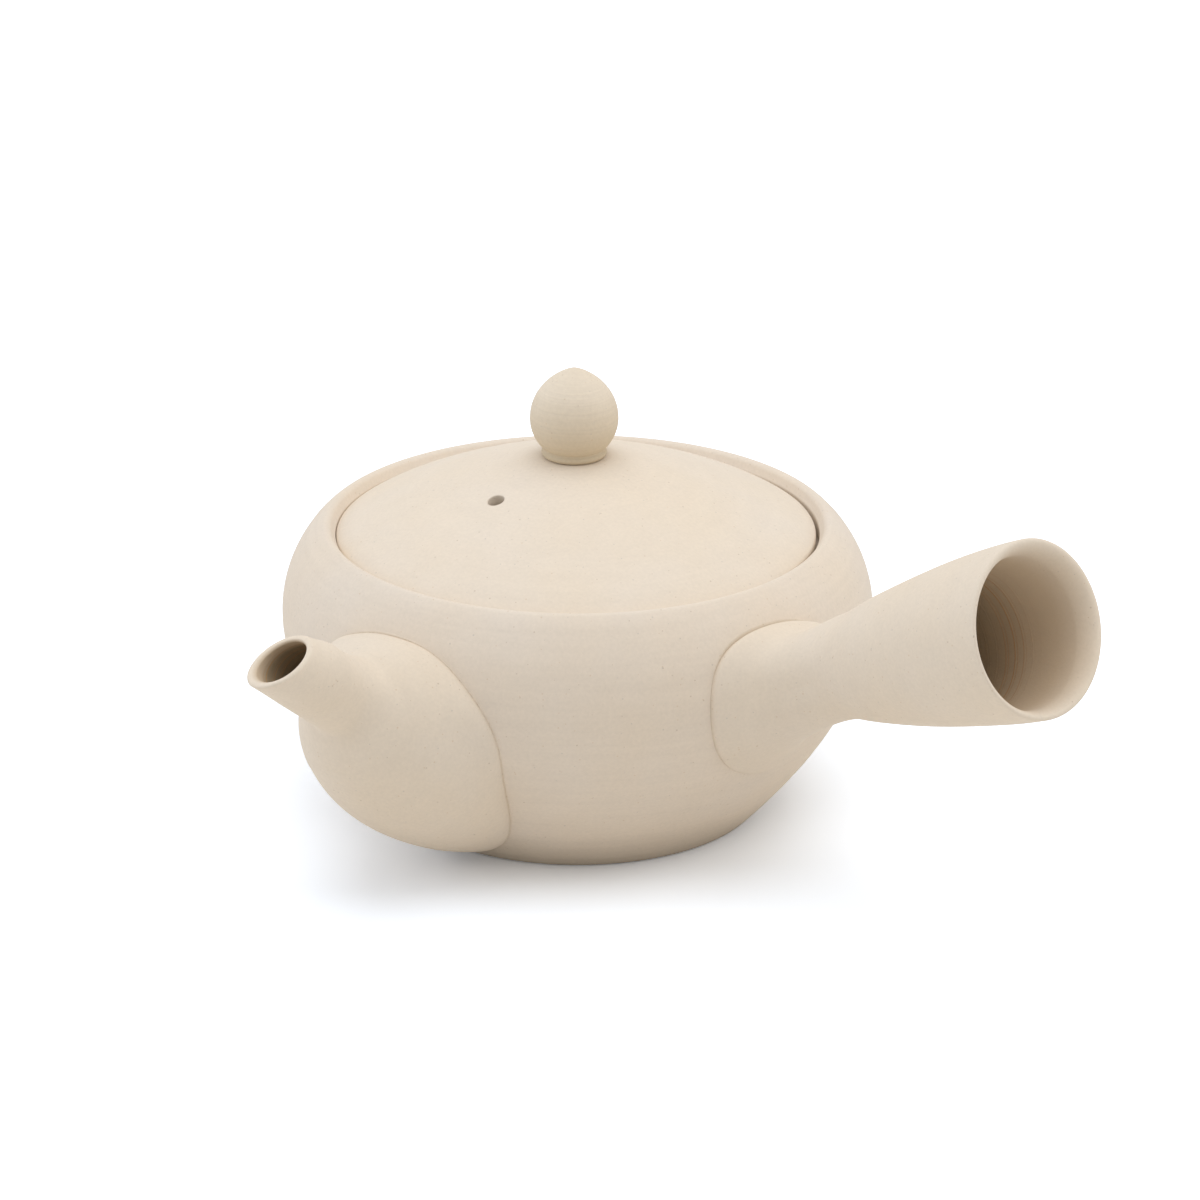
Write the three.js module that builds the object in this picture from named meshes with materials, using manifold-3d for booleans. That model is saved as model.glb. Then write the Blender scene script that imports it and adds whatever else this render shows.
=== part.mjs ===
// Kyusu: a small wheel-thrown teapot in unglazed pale clay, with a hollow side handle.
// Millimetres, +Z up. The origin is the middle of the flat base, the handle points along +X
// and the spout stands towards -Y.
import * as THREE from "three";
import { mergeVertices } from "three/addons/utils/BufferGeometryUtils.js";
import Module from "manifold-3d";

const wasm = await Module();
wasm.setup();

// Clearances
const LUTE_GAP = 0.3; // between two pieces that are stuck together with slip, and under the lid
const LID_PLAY = 0.85; // between the lid's edge and the inside of the rim
const FLANGE_PLAY = 0.8; // between the lid's flange and the ledge that it drops into

// Pot
const BASE_RADIUS = 36.3;
const BASE_ANGLE = 45; // the wall leaves the base at this angle to the table
const BASE_REACH = 13.2; // how far the wall keeps that direction
const BELLY_RADIUS = 59;
const BELLY_HEIGHT = 40.5;
const BELLY_REACH_DOWN = 15.2;
const BELLY_REACH_UP = 10.7;
const SHOULDER_ANGLE = 27; // the shoulder runs into the lip at this angle
const SHOULDER_REACH = 1.8;
const RIM_HEIGHT = 58.8;
const MOUTH_RADIUS = 48.7;
const LIP_RADIUS = 1.4;
const POT_WALL = 3.5;
const FLOOR_THICKNESS = 4;
const FLOOR_FILLET = 9; // height over which the floor turns up into the wall
const LEDGE_HEIGHT = 53; // top of the ledge that carries the lid
const LEDGE_WIDTH = 3.2;
const LEDGE_DEPTH = 2.4;
const LEDGE_SLOPE = 7; // height over which the ledge's underside runs back into the wall
const POUR_HOLE_RADIUS = 12;

// Lid
const LID_EDGE_HEIGHT = 3.5;
const LID_CROWN_HEIGHT = 19.9; // from the ledge to the knob's seat
const LID_EDGE_ANGLE = 38.7; // the dome leaves the edge at this slope
const LID_EDGE_REACH = 10;
const LID_CROWN_ANGLE = 11;
const LID_CROWN_REACH = 7;
const LID_WALL = 3;
const FLANGE_DEPTH = 5;
const FLANGE_WALL = 2.6;
const VENT_RADIUS = 1.75;
const VENT_DISTANCE = 21.8; // from the middle of the lid
const VENT_TURN = -95.5; // a little past the spout

// Knob
const KNOB_FOOT_RADIUS = 6.9;
const KNOB_NECK_RADIUS = 6.5;
const KNOB_NECK_HEIGHT = 0.9;
const KNOB_NECK_ANGLE = 15; // the ball leaves the neck at this slope
const KNOB_NECK_REACH = 1.6;
const KNOB_RADIUS = 8.8;
const KNOB_MIDDLE = 7.2; // height of the widest ring
const KNOB_REACH_DOWN = 3.2;
const KNOB_REACH_UP = 5.8;
const KNOB_HEIGHT = 18;
const KNOB_TIP_ANGLE = 7.5; // the ball runs up to its tip at this slope
const KNOB_TIP_REACH = 5;

// Handle. Its axis crosses the pot's near the base, and stations along it count from there.
const HANDLE = {
  turn: 0,
  rise: 23.2,
  start: 16.8,
  sidestep: -3.2,
  footAcross: -3.6,
  footUp: -1.6,
  footSquash: 0.89,
  footFollow: 1, // the foot takes all of the wall's curve
  leanFrom: 67,
  leanTo: 80,
  mouth: 129,
  mouthRadius: 17.5,
  lipRadius: 0.93,
  wall: 2.6,
  slantUp: 3.3,
  slantSide: 2.9,
  slantLength: 20,
};
const FLANGE_RADIUS = 16.1; // the foot's edge
const FLANGE_SINK = 3; // how deep the edge would reach into the wall
const BRIM_RADIUS = 14.5;
const BRIM_HEIGHT = 3.2; // over the wall
const BRIM_ANGLE = 52; // the foot rises from its brim at this slope
const BRIM_REACH = 4.5;
const EDGE_REACH = 1.6;
const GRIP_NECK = 77;
const GRIP_NECK_RADIUS = 9.75;
const GRIP_NECK_ANGLE = 81;
const GRIP_REACH_DOWN = 6;
const GRIP_REACH_UP = 5;
const GRIP_FLARE_REACH = 17.5;

// Spout, placed in the same way.
const SPOUT = {
  turn: -88.7,
  rise: 35.3,
  start: -7,
  sidestep: 2.1,
  footAcross: 0.8,
  footUp: 1.7,
  footSquash: 1,
  footFollow: 0,
  leanFrom: 49,
  leanTo: 91,
  mouth: 110.8,
  mouthRadius: 6.7,
  lipRadius: 0.95,
  wall: 2.3,
  slantUp: -30.4,
  slantSide: 13.2,
  slantLength: 14,
};
const BELL_FOOT = 27;
const BELL_FOOT_RADIUS = 8.9;
const BELL_FOOT_ANGLE = 37;
const BELL_FOOT_REACH = 9.5;
const BELL = 59.1; // station of the widest ring
const BELL_RADIUS = 21.4;
const BELL_REACH_DOWN = 13.8;
const BELL_REACH_UP = 13.4;
const THROAT = 88.8; // where the bell meets the tube
const THROAT_RADIUS = 7.6;
const THROAT_ANGLE = 28.5;
const THROAT_REACH = 9.6;

// Strainer
const STRAINER_RADIUS = 17;
const STRAINER_WALL = 1.8;
const STRAINER_DEPTH = 0.9; // of the dome's middle, from the wall's outside along the spout's axis
const STRAINER_PITCH = 4;
const STRAINER_HOLE_RADIUS = 1;
const STRAINER_REACH = 58; // the rings of holes end at this angle from the middle of the dome

// Fineness
const POT_FACETS = 48;
const KNOB_FACETS = 24;
const LIMB_FACETS = 28;
const BALL_FACETS = 28;
const BALL_RINGS = 18;
const CURVE_STEPS = 6;
const FINE_STEPS = 3;
const DRILL_FACETS = 20;
const HOLE_FACETS = 6;
const WELD = 1e-4;

const UP = 90;
const DOWN = -90;
const CLAY = { color: 0xd9ccb8, roughness: 0.85, metalness: 0 };
const LID_CLAY = { color: 0xe0d2bb, roughness: 0.85, metalness: 0 };

const rad = THREE.MathUtils.degToRad;
const point = (radius, height) => new THREE.Vector2(radius, height);
const ahead = (from, angle, reach) =>
  point(from.x + reach * Math.cos(rad(angle)), from.y + reach * Math.sin(rad(angle)));

// A closed geometry as a solid that can be cut and joined.
function solidOf(geometry) {
  const bare = geometry.clone();
  bare.deleteAttribute("normal");
  bare.deleteAttribute("uv");
  const merged = mergeVertices(bare, WELD);
  const corners = merged.index.array;
  const kept = [];
  for (let i = 0; i < corners.length; i += 3) {
    const [a, b, c] = [corners[i], corners[i + 1], corners[i + 2]];
    if (a !== b && b !== c && c !== a) kept.push(a, b, c);
  }
  const vertProperties = merged.getAttribute("position").array;
  return new wasm.Manifold(new wasm.Mesh({ numProp: 3, vertProperties, triVerts: new Uint32Array(kept) }));
}

function geometryOf(solid) {
  const { vertProperties, triVerts } = solid.getMesh();
  const geometry = new THREE.BufferGeometry();
  geometry.setAttribute("position", new THREE.BufferAttribute(vertProperties, 3));
  geometry.setIndex(new THREE.BufferAttribute(triVerts, 1));
  const faceted = geometry.toNonIndexed();
  faceted.computeVertexNormals();
  return faceted;
}

// A profile of (radius, height) points turned about +Z.
function turned(profile, facets) {
  return new THREE.LatheGeometry(profile, facets).rotateX(Math.PI / 2);
}

// The profile moved sideways, to its right as it is walked along, by a distance given for each point.
function offset(profile, distanceAt) {
  return profile.map((p, i) => {
    const before = profile[Math.max(i - 1, 0)];
    const after = profile[Math.min(i + 1, profile.length - 1)];
    const along = after.clone().sub(before).normalize();
    const distance = distanceAt(p);
    return point(p.x + along.y * distance, p.y - along.x * distance);
  });
}

function named(name, solid, look) {
  const mesh = new THREE.Mesh(geometryOf(solid), new THREE.MeshStandardMaterial(look));
  mesh.name = name;
  return mesh;
}

// The points of a run of Bezier curves, each given by two guides and an end.
function curved(start, curves) {
  const path = new THREE.Path();
  path.moveTo(start.x, start.y);
  curves.forEach((guides) => path.bezierCurveTo(...guides.flatMap((p) => [p.x, p.y])));
  return path.getPoints(CURVE_STEPS);
}

// The pot's outside from the base to the start of the lip.
function potOutside() {
  const base = point(BASE_RADIUS, 0);
  const belly = point(BELLY_RADIUS, BELLY_HEIGHT);
  const lip = point(MOUTH_RADIUS + LIP_RADIUS, RIM_HEIGHT - LIP_RADIUS);
  const end = ahead(lip, UP - SHOULDER_ANGLE, LIP_RADIUS);
  return curved(base, [
    [ahead(base, BASE_ANGLE, BASE_REACH), ahead(belly, DOWN, BELLY_REACH_DOWN), belly],
    [ahead(belly, UP, BELLY_REACH_UP), ahead(end, -SHOULDER_ANGLE, SHOULDER_REACH), end],
  ]);
}

// The lip, from the shoulder over the top to the inside.
function potLip() {
  const lip = new THREE.Path();
  const start = rad(UP - SHOULDER_ANGLE);
  lip.absarc(MOUTH_RADIUS + LIP_RADIUS, RIM_HEIGHT - LIP_RADIUS, LIP_RADIUS, start, Math.PI, false);
  return lip.getPoints(FINE_STEPS);
}

// The inside of the wall, from under the ledge down to the floor's fillet.
function potInside() {
  const top = LEDGE_HEIGHT - LEDGE_DEPTH - LEDGE_SLOPE;
  const bottom = FLOOR_THICKNESS + FLOOR_FILLET;
  const wall = offset(potOutside(), () => -POT_WALL);
  return wall.filter((p) => p.y < top && p.y > bottom).reverse();
}

// The pot's hollow from the ledge's inner edge down to the axis, kept clear of the clay by a gap.
function potHollow(gap) {
  const ledge = MOUTH_RADIUS - LEDGE_WIDTH;
  const wall = potInside();
  const foot = wall[wall.length - 1];
  const flat = point(foot.x - 2 * FLOOR_FILLET, FLOOR_THICKNESS);
  const turn = ahead(foot, BASE_ANGLE + 2 * UP, FLOOR_FILLET);
  const floor = new THREE.Path();
  floor.moveTo(foot.x, foot.y);
  floor.quadraticCurveTo(turn.x, FLOOR_THICKNESS, flat.x, flat.y);
  const side = [
    point(ledge, LEDGE_HEIGHT),
    point(ledge, LEDGE_HEIGHT - LEDGE_DEPTH),
    ...wall,
    ...floor.getPoints(FINE_STEPS).slice(1),
  ];
  return [...offset(side, () => gap), point(0, FLOOR_THICKNESS + gap)];
}

// A round bar along the spout's axis or the pot's, about a given height on it.
function bar(radius, length, height) {
  return new THREE.CylinderGeometry(radius, radius, length, DRILL_FACETS).rotateX(Math.PI / 2).translate(0, 0, height);
}

function makePot(spoutFrame) {
  const profile = [
    point(0, 0),
    ...potOutside(),
    ...potLip().slice(1),
    point(MOUTH_RADIUS, LEDGE_HEIGHT),
    ...potHollow(0),
  ];
  const drill = bar(POUR_HOLE_RADIUS, STRAINER_RADIUS * 2, strainerStation()).applyMatrix4(spoutFrame);
  return solidOf(turned(profile, POT_FACETS)).subtract(solidOf(drill));
}

// Everything inside the pot's outside, and above and below it: what a foot is cut back to.
function potCutter() {
  const crest = potLip().slice(1).filter((p) => p.x > MOUTH_RADIUS + LIP_RADIUS);
  const side = offset([...potOutside(), ...crest], () => LUTE_GAP);
  const past = RIM_HEIGHT;
  const profile = [
    point(0, -past),
    point(side[0].x, -past),
    ...side,
    point(side[side.length - 1].x, RIM_HEIGHT + past),
    point(0, RIM_HEIGHT + past),
  ];
  return solidOf(turned(profile, POT_FACETS));
}

// The handle's outline from the edge of its foot to the start of its lip, and the part of it that its hollow follows.
// The foot is drawn on a flat wall.
function handleOutline() {
  const wall = wallStation(HANDLE, 0, 0);
  const edge = point(FLANGE_RADIUS, wall);
  const brim = point(BRIM_RADIUS, wall + BRIM_HEIGHT);
  const neck = point(GRIP_NECK_RADIUS, GRIP_NECK);
  const mouth = point(HANDLE.mouthRadius, HANDLE.mouth - HANDLE.lipRadius);
  const rounding = curved(edge, [[ahead(edge, UP, EDGE_REACH), ahead(brim, -BRIM_ANGLE, EDGE_REACH), brim]]);
  const tube = curved(brim, [
    [ahead(brim, 2 * UP - BRIM_ANGLE, BRIM_REACH), ahead(neck, GRIP_NECK_ANGLE + 2 * UP, GRIP_REACH_DOWN), neck],
    [ahead(neck, GRIP_NECK_ANGLE, GRIP_REACH_UP), ahead(mouth, DOWN, GRIP_FLARE_REACH), mouth],
  ]);
  return { outside: [point(FLANGE_RADIUS, wall - FLANGE_SINK), ...rounding, ...tube.slice(1)], followed: tube };
}

// The spout's outline from the hidden foot of its bell to the start of its lip. Its hollow follows all of it.
function spoutOutline() {
  const foot = point(BELL_FOOT_RADIUS, BELL_FOOT);
  const bell = point(BELL_RADIUS, BELL);
  const throat = point(THROAT_RADIUS, THROAT);
  const mouth = point(SPOUT.mouthRadius, SPOUT.mouth - SPOUT.lipRadius);
  const outside = curved(foot, [
    [ahead(foot, BELL_FOOT_ANGLE, BELL_FOOT_REACH), ahead(bell, DOWN, BELL_REACH_DOWN), bell],
    [ahead(bell, UP, BELL_REACH_UP), ahead(throat, -THROAT_ANGLE, THROAT_REACH), throat],
    [throat, mouth, mouth],
  ]);
  return { outside, followed: outside };
}

// The pot's outside radius at a height, which is nothing above its lip.
function potRadius(height) {
  const wall = potOutside();
  const i = wall.findIndex((p) => p.y > height);
  if (i < 0) return 0;
  const [low, high] = [wall[Math.max(i - 1, 0)], wall[Math.max(i, 1)]];
  return THREE.MathUtils.lerp(low.x, high.x, (height - low.y) / (high.y - low.y));
}

// The station at which a line beside a limb's axis leaves the pot's outside.
function wallStation(limb, across, up) {
  const frame = limbFrame(limb);
  let inside = 0;
  let outside = limb.mouth;
  while (outside - inside > WELD) {
    const middle = (inside + outside) / 2;
    const at = new THREE.Vector3(across, up, middle).applyMatrix4(frame);
    if (Math.hypot(at.x, at.y) < potRadius(at.z)) inside = middle;
    else outside = middle;
  }
  return inside;
}

// A hollow limb about its own +Z, open at both ends, with a rounded lip.
function limbShell(limb, { outside, followed }) {
  const lip = new THREE.Path();
  lip.absarc(limb.mouthRadius - limb.lipRadius, limb.mouth - limb.lipRadius, limb.lipRadius, 0, Math.PI, false);
  const thinning = (p) => THREE.MathUtils.smoothstep(p.y, limb.leanTo, limb.mouth);
  const inside = offset(followed, (p) => -THREE.MathUtils.lerp(limb.wall, 2 * limb.lipRadius, thinning(p))).reverse();
  const edge = lip.getPoints(FINE_STEPS).slice(1, -1);
  const shell = turned([...outside, ...edge, ...inside, outside[0].clone()], LIMB_FACETS);
  const place = shell.getAttribute("position");
  for (let i = 0; i < place.count; i++) {
    const at = new THREE.Vector3().fromBufferAttribute(place, i);
    place.setXYZ(i, ...bent(limb, at));
  }
  return solidOf(shell);
}

// A point of a limb after its foot is leant and laid on the wall and its mouth is cut on the slant.
function bent(limb, at) {
  const lean = 1 - THREE.MathUtils.smoothstep(at.z, limb.leanFrom, limb.leanTo);
  const slant = THREE.MathUtils.smoothstep(at.z, limb.mouth - limb.slantLength, limb.mouth);
  const across = at.x + lean * limb.footAcross;
  const up = at.y * THREE.MathUtils.lerp(1, limb.footSquash, lean) + lean * limb.footUp;
  const follow = limb.footFollow * lean * (wallStation(limb, across, up) - wallStation(limb, 0, 0));
  const cut = slant * (at.y * Math.tan(rad(limb.slantUp)) + at.x * Math.tan(rad(limb.slantSide)));
  return [across, up, at.z + follow + cut];
}

// Where a limb's own frame lies: +Z along the limb, +Y up the slope.
function limbFrame(limb) {
  const turn = rad(limb.turn);
  const rise = rad(limb.rise);
  const along = new THREE.Vector3(Math.cos(turn) * Math.cos(rise), Math.sin(turn) * Math.cos(rise), Math.sin(rise));
  const across = new THREE.Vector3(-Math.sin(turn), Math.cos(turn), 0);
  const up = along.clone().cross(across);
  const frame = new THREE.Matrix4().makeBasis(across, up, along);
  return frame.setPosition(across.x * limb.sidestep, across.y * limb.sidestep, limb.start);
}

// A limb cut back to the pot's wall, in its own frame and put in its place.
function makeLimb(name, limb, outline, cutter) {
  const frame = limbFrame(limb);
  const wall = geometryOf(cutter).applyMatrix4(frame.clone().invert());
  const mesh = named(name, limbShell(limb, outline).subtract(solidOf(wall)), CLAY);
  mesh.applyMatrix4(frame);
  return mesh;
}

// The station of the strainer's middle along the spout's axis.
function strainerStation() {
  return wallStation(SPOUT, 0, 0) - STRAINER_DEPTH;
}

// A perforated dome that stands on the inside of the wall, over the pouring hole.
function makeStrainer(spoutFrame) {
  const ball = (radius) => solidOf(new THREE.SphereGeometry(radius, BALL_FACETS, BALL_RINGS)
    .rotateX(Math.PI / 2).translate(0, 0, strainerStation()).applyMatrix4(spoutFrame));
  const hollow = [point(0, LEDGE_HEIGHT), ...potHollow(LUTE_GAP)].reverse();
  const shell = ball(STRAINER_RADIUS).subtract(ball(STRAINER_RADIUS - STRAINER_WALL));
  return shell.intersect(solidOf(turned(hollow, POT_FACETS))).subtract(strainerHoles(spoutFrame));
}

// Rings of holes about the middle of the dome, evenly spaced over it.
function strainerHoles(spoutFrame) {
  const step = STRAINER_PITCH / STRAINER_RADIUS;
  const middle = strainerStation();
  const drills = [];
  for (let angle = 0; angle <= rad(STRAINER_REACH); angle += step) {
    const count = Math.max(1, Math.round((2 * Math.PI * Math.sin(angle)) / step));
    for (let k = 0; k < count; k++) {
      const drill = new THREE.CylinderGeometry(STRAINER_HOLE_RADIUS, STRAINER_HOLE_RADIUS, STRAINER_RADIUS, HOLE_FACETS)
        .rotateX(Math.PI / 2)
        .translate(0, 0, -STRAINER_RADIUS)
        .rotateX(angle)
        .rotateZ((2 * Math.PI * k) / count)
        .translate(0, 0, middle)
        .applyMatrix4(spoutFrame);
      drills.push(solidOf(drill));
    }
  }
  return wasm.Manifold.union(drills);
}

// The lid about its own axis, its seat at height 0.
function makeLid() {
  const flange = MOUTH_RADIUS - LEDGE_WIDTH - FLANGE_PLAY;
  const edge = point(MOUTH_RADIUS - LID_PLAY, LID_EDGE_HEIGHT);
  const crown = point(KNOB_FOOT_RADIUS, LID_CROWN_HEIGHT);
  const top = curved(edge, [
    [ahead(edge, 2 * UP - LID_EDGE_ANGLE, LID_EDGE_REACH), ahead(crown, -LID_CROWN_ANGLE, LID_CROWN_REACH), crown],
  ]);
  const under = offset(top, () => -LID_WALL).filter((p) => p.x < flange - FLANGE_WALL - LID_WALL).reverse();
  const profile = [
    point(0, LID_CROWN_HEIGHT - LID_WALL),
    ...under,
    point(flange - FLANGE_WALL, 0),
    point(flange - FLANGE_WALL, -FLANGE_DEPTH),
    point(flange, -FLANGE_DEPTH),
    point(flange, 0),
    point(edge.x, 0),
    ...top,
    point(0, LID_CROWN_HEIGHT),
  ];
  const turn = rad(VENT_TURN);
  const vent = bar(VENT_RADIUS, LID_CROWN_HEIGHT * 2, LID_CROWN_HEIGHT)
    .translate(VENT_DISTANCE * Math.cos(turn), VENT_DISTANCE * Math.sin(turn), 0);
  return solidOf(turned(profile, POT_FACETS)).subtract(solidOf(vent));
}

// The knob, a ball with a drawn-out tip on a short neck.
function makeKnob() {
  const neck = point(KNOB_NECK_RADIUS, KNOB_NECK_HEIGHT);
  const middle = point(KNOB_RADIUS, KNOB_MIDDLE);
  const tip = point(0, KNOB_HEIGHT);
  const ball = curved(neck, [
    [ahead(neck, KNOB_NECK_ANGLE, KNOB_NECK_REACH), ahead(middle, DOWN, KNOB_REACH_DOWN), middle],
    [ahead(middle, UP, KNOB_REACH_UP), ahead(tip, -KNOB_TIP_ANGLE, KNOB_TIP_REACH), tip],
  ]);
  return solidOf(turned([point(0, 0), point(KNOB_FOOT_RADIUS, 0), ...ball], KNOB_FACETS));
}

const kyusu = new THREE.Group();
const spoutFrame = limbFrame(SPOUT);
const cutter = potCutter();
kyusu.add(named("pot_body", makePot(spoutFrame), CLAY));
kyusu.add(makeLimb("side_handle", HANDLE, handleOutline(), cutter));
kyusu.add(makeLimb("spout", SPOUT, spoutOutline(), cutter));
kyusu.add(named("strainer", makeStrainer(spoutFrame), CLAY));

const lidGroup = new THREE.Group();
lidGroup.position.z = LEDGE_HEIGHT + LUTE_GAP;
lidGroup.add(named("lid", makeLid(), LID_CLAY));
const knob = named("lid_knob", makeKnob(), LID_CLAY);
knob.position.z = LID_CROWN_HEIGHT + LUTE_GAP;
lidGroup.add(knob);
kyusu.add(lidGroup);

export default kyusu;
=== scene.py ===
# %% [markdown]
# # A side-handled teapot in unglazed clay
# A kyusu is thrown on the wheel in separate parts: a round pot, a lid with its knob, a hollow handle
# and a spout with a perforated dome behind it. When they are half dry they are stuck together with slip.
# This lesson makes each part as the potter does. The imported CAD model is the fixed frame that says
# where every part sits and how large it is.

# %% Load the frame
import math

import bpy
import numpy as np
from mathutils import Matrix, Vector


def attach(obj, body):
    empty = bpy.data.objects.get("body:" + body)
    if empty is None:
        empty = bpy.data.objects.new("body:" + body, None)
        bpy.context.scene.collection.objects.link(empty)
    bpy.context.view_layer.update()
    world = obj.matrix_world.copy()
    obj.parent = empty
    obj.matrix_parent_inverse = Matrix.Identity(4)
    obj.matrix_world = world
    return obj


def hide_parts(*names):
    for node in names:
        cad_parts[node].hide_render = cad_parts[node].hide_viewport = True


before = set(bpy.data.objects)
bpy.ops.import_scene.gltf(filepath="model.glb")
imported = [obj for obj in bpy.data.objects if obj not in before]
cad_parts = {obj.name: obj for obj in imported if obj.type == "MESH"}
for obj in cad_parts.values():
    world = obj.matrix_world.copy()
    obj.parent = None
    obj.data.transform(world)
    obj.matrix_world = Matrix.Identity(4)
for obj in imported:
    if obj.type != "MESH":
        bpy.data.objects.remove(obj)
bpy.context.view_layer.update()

MM = 0.001
print("nodes in the frame:", sorted(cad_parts))

# %% [markdown]
# ## Lines to throw by
# Every part starts as an outline, which is drawn in millimetres as (radius, height). Bezier curves suit
# clay: a guide says in which direction the wall runs and for how long it keeps that direction. Corners
# of real clay are never sharp, because a wet sponge goes over them, so a corner is rounded as it is drawn.

# %% Draw lines
def ahead(start, angle, reach):
    """The point a reach away from the start, at an angle in degrees from the outward direction."""
    turn = math.radians(angle)
    return (start[0] + reach * math.cos(turn), start[1] + reach * math.sin(turn))


def curve(start, guide, other_guide, end, steps=28):
    """The points of one Bezier curve."""
    t = np.linspace(0, 1, steps + 1)[:, None]
    a, b, c, d = (np.array(p, float) for p in (start, guide, other_guide, end))
    return (1 - t) ** 3 * a + 3 * (1 - t) ** 2 * t * b + 3 * (1 - t) * t**2 * c + t**3 * d


def arc(centre, radius, first, last, steps=14):
    """The points of an arc, between two angles in degrees."""
    turns = np.radians(np.linspace(first, last, steps + 1))
    return np.array(centre) + radius * np.column_stack([np.cos(turns), np.sin(turns)])


def corner(before, at, after, size, steps=6):
    """A corner that is rounded over a length on both sides."""
    at = np.array(at, float)
    ends = []
    for other in (before, after):
        away = np.array(other, float) - at
        ends.append(at + away / np.linalg.norm(away) * size)
    t = np.linspace(0, 1, steps + 1)[:, None]
    return (1 - t) ** 2 * ends[0] + 2 * (1 - t) * t * at + t**2 * ends[1]


print("a corner of 1 mm has", len(corner((0, 5), (0, 0), (5, 0), 1)), "points")

# %% [markdown]
# ## Lines from lines
# A wall has the same thickness all along, so its inside is the outside line moved to one side. An outline
# is joined from several runs, and long gaps are filled with points, because finger lines need them.

# %% Walk along lines
SAME_POINT = 1e-6  # in mm


def beside(line, distance):
    """A line moved to its right by a distance, as it is walked along."""
    along = np.gradient(line, axis=0)
    along /= np.linalg.norm(along, axis=1)[:, None]
    distance = np.broadcast_to(distance, len(line))[:, None]
    return line + np.column_stack([along[:, 1], -along[:, 0]]) * distance


def joined(*runs, spacing=0.8):
    """Runs of points as one line, with no gap between two points much longer than the spacing."""
    points = np.vstack([np.atleast_2d(np.array(run, float)) for run in runs])
    filled = [points[0]]
    for p in points[1:]:
        gap = np.linalg.norm(p - filled[-1])
        if gap < SAME_POINT:
            continue
        count = math.ceil(gap / spacing)
        start = filled[-1]
        filled += [start + (p - start) * k / count for k in range(1, count + 1)]
    return np.array(filled)


def lengths(line):
    """How far along the line each of its points is."""
    return np.concatenate([[0], np.cumsum(np.linalg.norm(np.diff(line, axis=0), axis=1))])


print("a line of 4 mm is", joined((0, 0), (4, 0)).shape[0], "points")

# %% [markdown]
# ## Sums on sockets
# A node tree is easier to read as a sum than as a list of links. One small class wraps a socket, and
# every sum on it adds a Math node. Both the geometry trees and the clay's material use it.

# %% A socket in sums
class Value:
    """A node's output that can be used in sums."""

    def __init__(self, graph, socket):
        self.graph = graph
        self.socket = socket

    def math(self, operation, first, second):
        return self.graph.node("ShaderNodeMath", {"operation": operation}, {0: first, 1: second})

    def __add__(self, other):
        return self.math("ADD", self, other)

    def __sub__(self, other):
        return self.math("SUBTRACT", self, other)

    def __rsub__(self, other):
        return self.math("SUBTRACT", other, self)

    def __mul__(self, other):
        return self.math("MULTIPLY", self, other)

    def __truediv__(self, other):
        return self.math("DIVIDE", self, other)

    def __mod__(self, other):
        return self.math("FLOORED_MODULO", self, other)

    def __gt__(self, other):
        return self.math("GREATER_THAN", self, other)

    __radd__ = __add__
    __rmul__ = __mul__


print("sums ready")

# %% [markdown]
# ## A tree as Python
# All other nodes come from one method, which sets a node's settings first, because they can change which
# sockets it has, and then its inputs, with values or with links.

# %% A tree's nodes
class Graph:
    """A node tree that is written as Python."""

    def __init__(self, tree):
        self.tree = tree

    def node(self, kind, settings=None, inputs=None, out=0):
        """One node, with its settings set first and then its inputs, and the output that is wanted."""
        made = self.tree.nodes.new(kind)
        for name, value in (settings or {}).items():
            setattr(made, name, value)
        for name, value in (inputs or {}).items():
            if isinstance(value, Value):
                self.tree.links.new(value.socket, made.inputs[name])
            else:
                made.inputs[name].default_value = value
        return Value(self, made.outputs[out])

    def end(self, kind, value):
        """The tree's last node, which takes the value on its first input."""
        ending = self.tree.nodes.new(kind)
        self.tree.links.new(value.socket, ending.inputs[0])

    def of(self, operation, value):
        """One Math node on one value, such as its cosine or its square root."""
        return self.node("ShaderNodeMath", {"operation": operation}, {0: value})

    def vector(self, x, y, z):
        return self.node("ShaderNodeCombineXYZ", None, {0: x, 1: y, 2: z})

    def parts(self, vector):
        first = self.node("ShaderNodeSeparateXYZ", None, {0: vector})
        return [Value(self, socket) for socket in first.socket.node.outputs]

    def mix(self, share, first, second):
        """Two colours mixed by a share from 0 to 1."""
        return self.node("ShaderNodeMix", {"data_type": "RGBA"}, {0: share, 6: first, 7: second}, out=2)

    def noise(self, place, scale, detail=2.0, roughness=0.5):
        inputs = {"Vector": place, "Scale": scale, "Detail": detail, "Roughness": roughness}
        return self.node("ShaderNodeTexNoise", None, inputs)


print("trees ready")

# %% [markdown]
# ## Trees that make shapes
# A Geometry Nodes tree has named inputs, so that its sizes can be changed in the modifier without opening
# the tree. It ends with a plain mesh in its clay, because instances are lost when a model is exported.
# The finished mesh is taken over by the object and the modifier goes.

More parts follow.
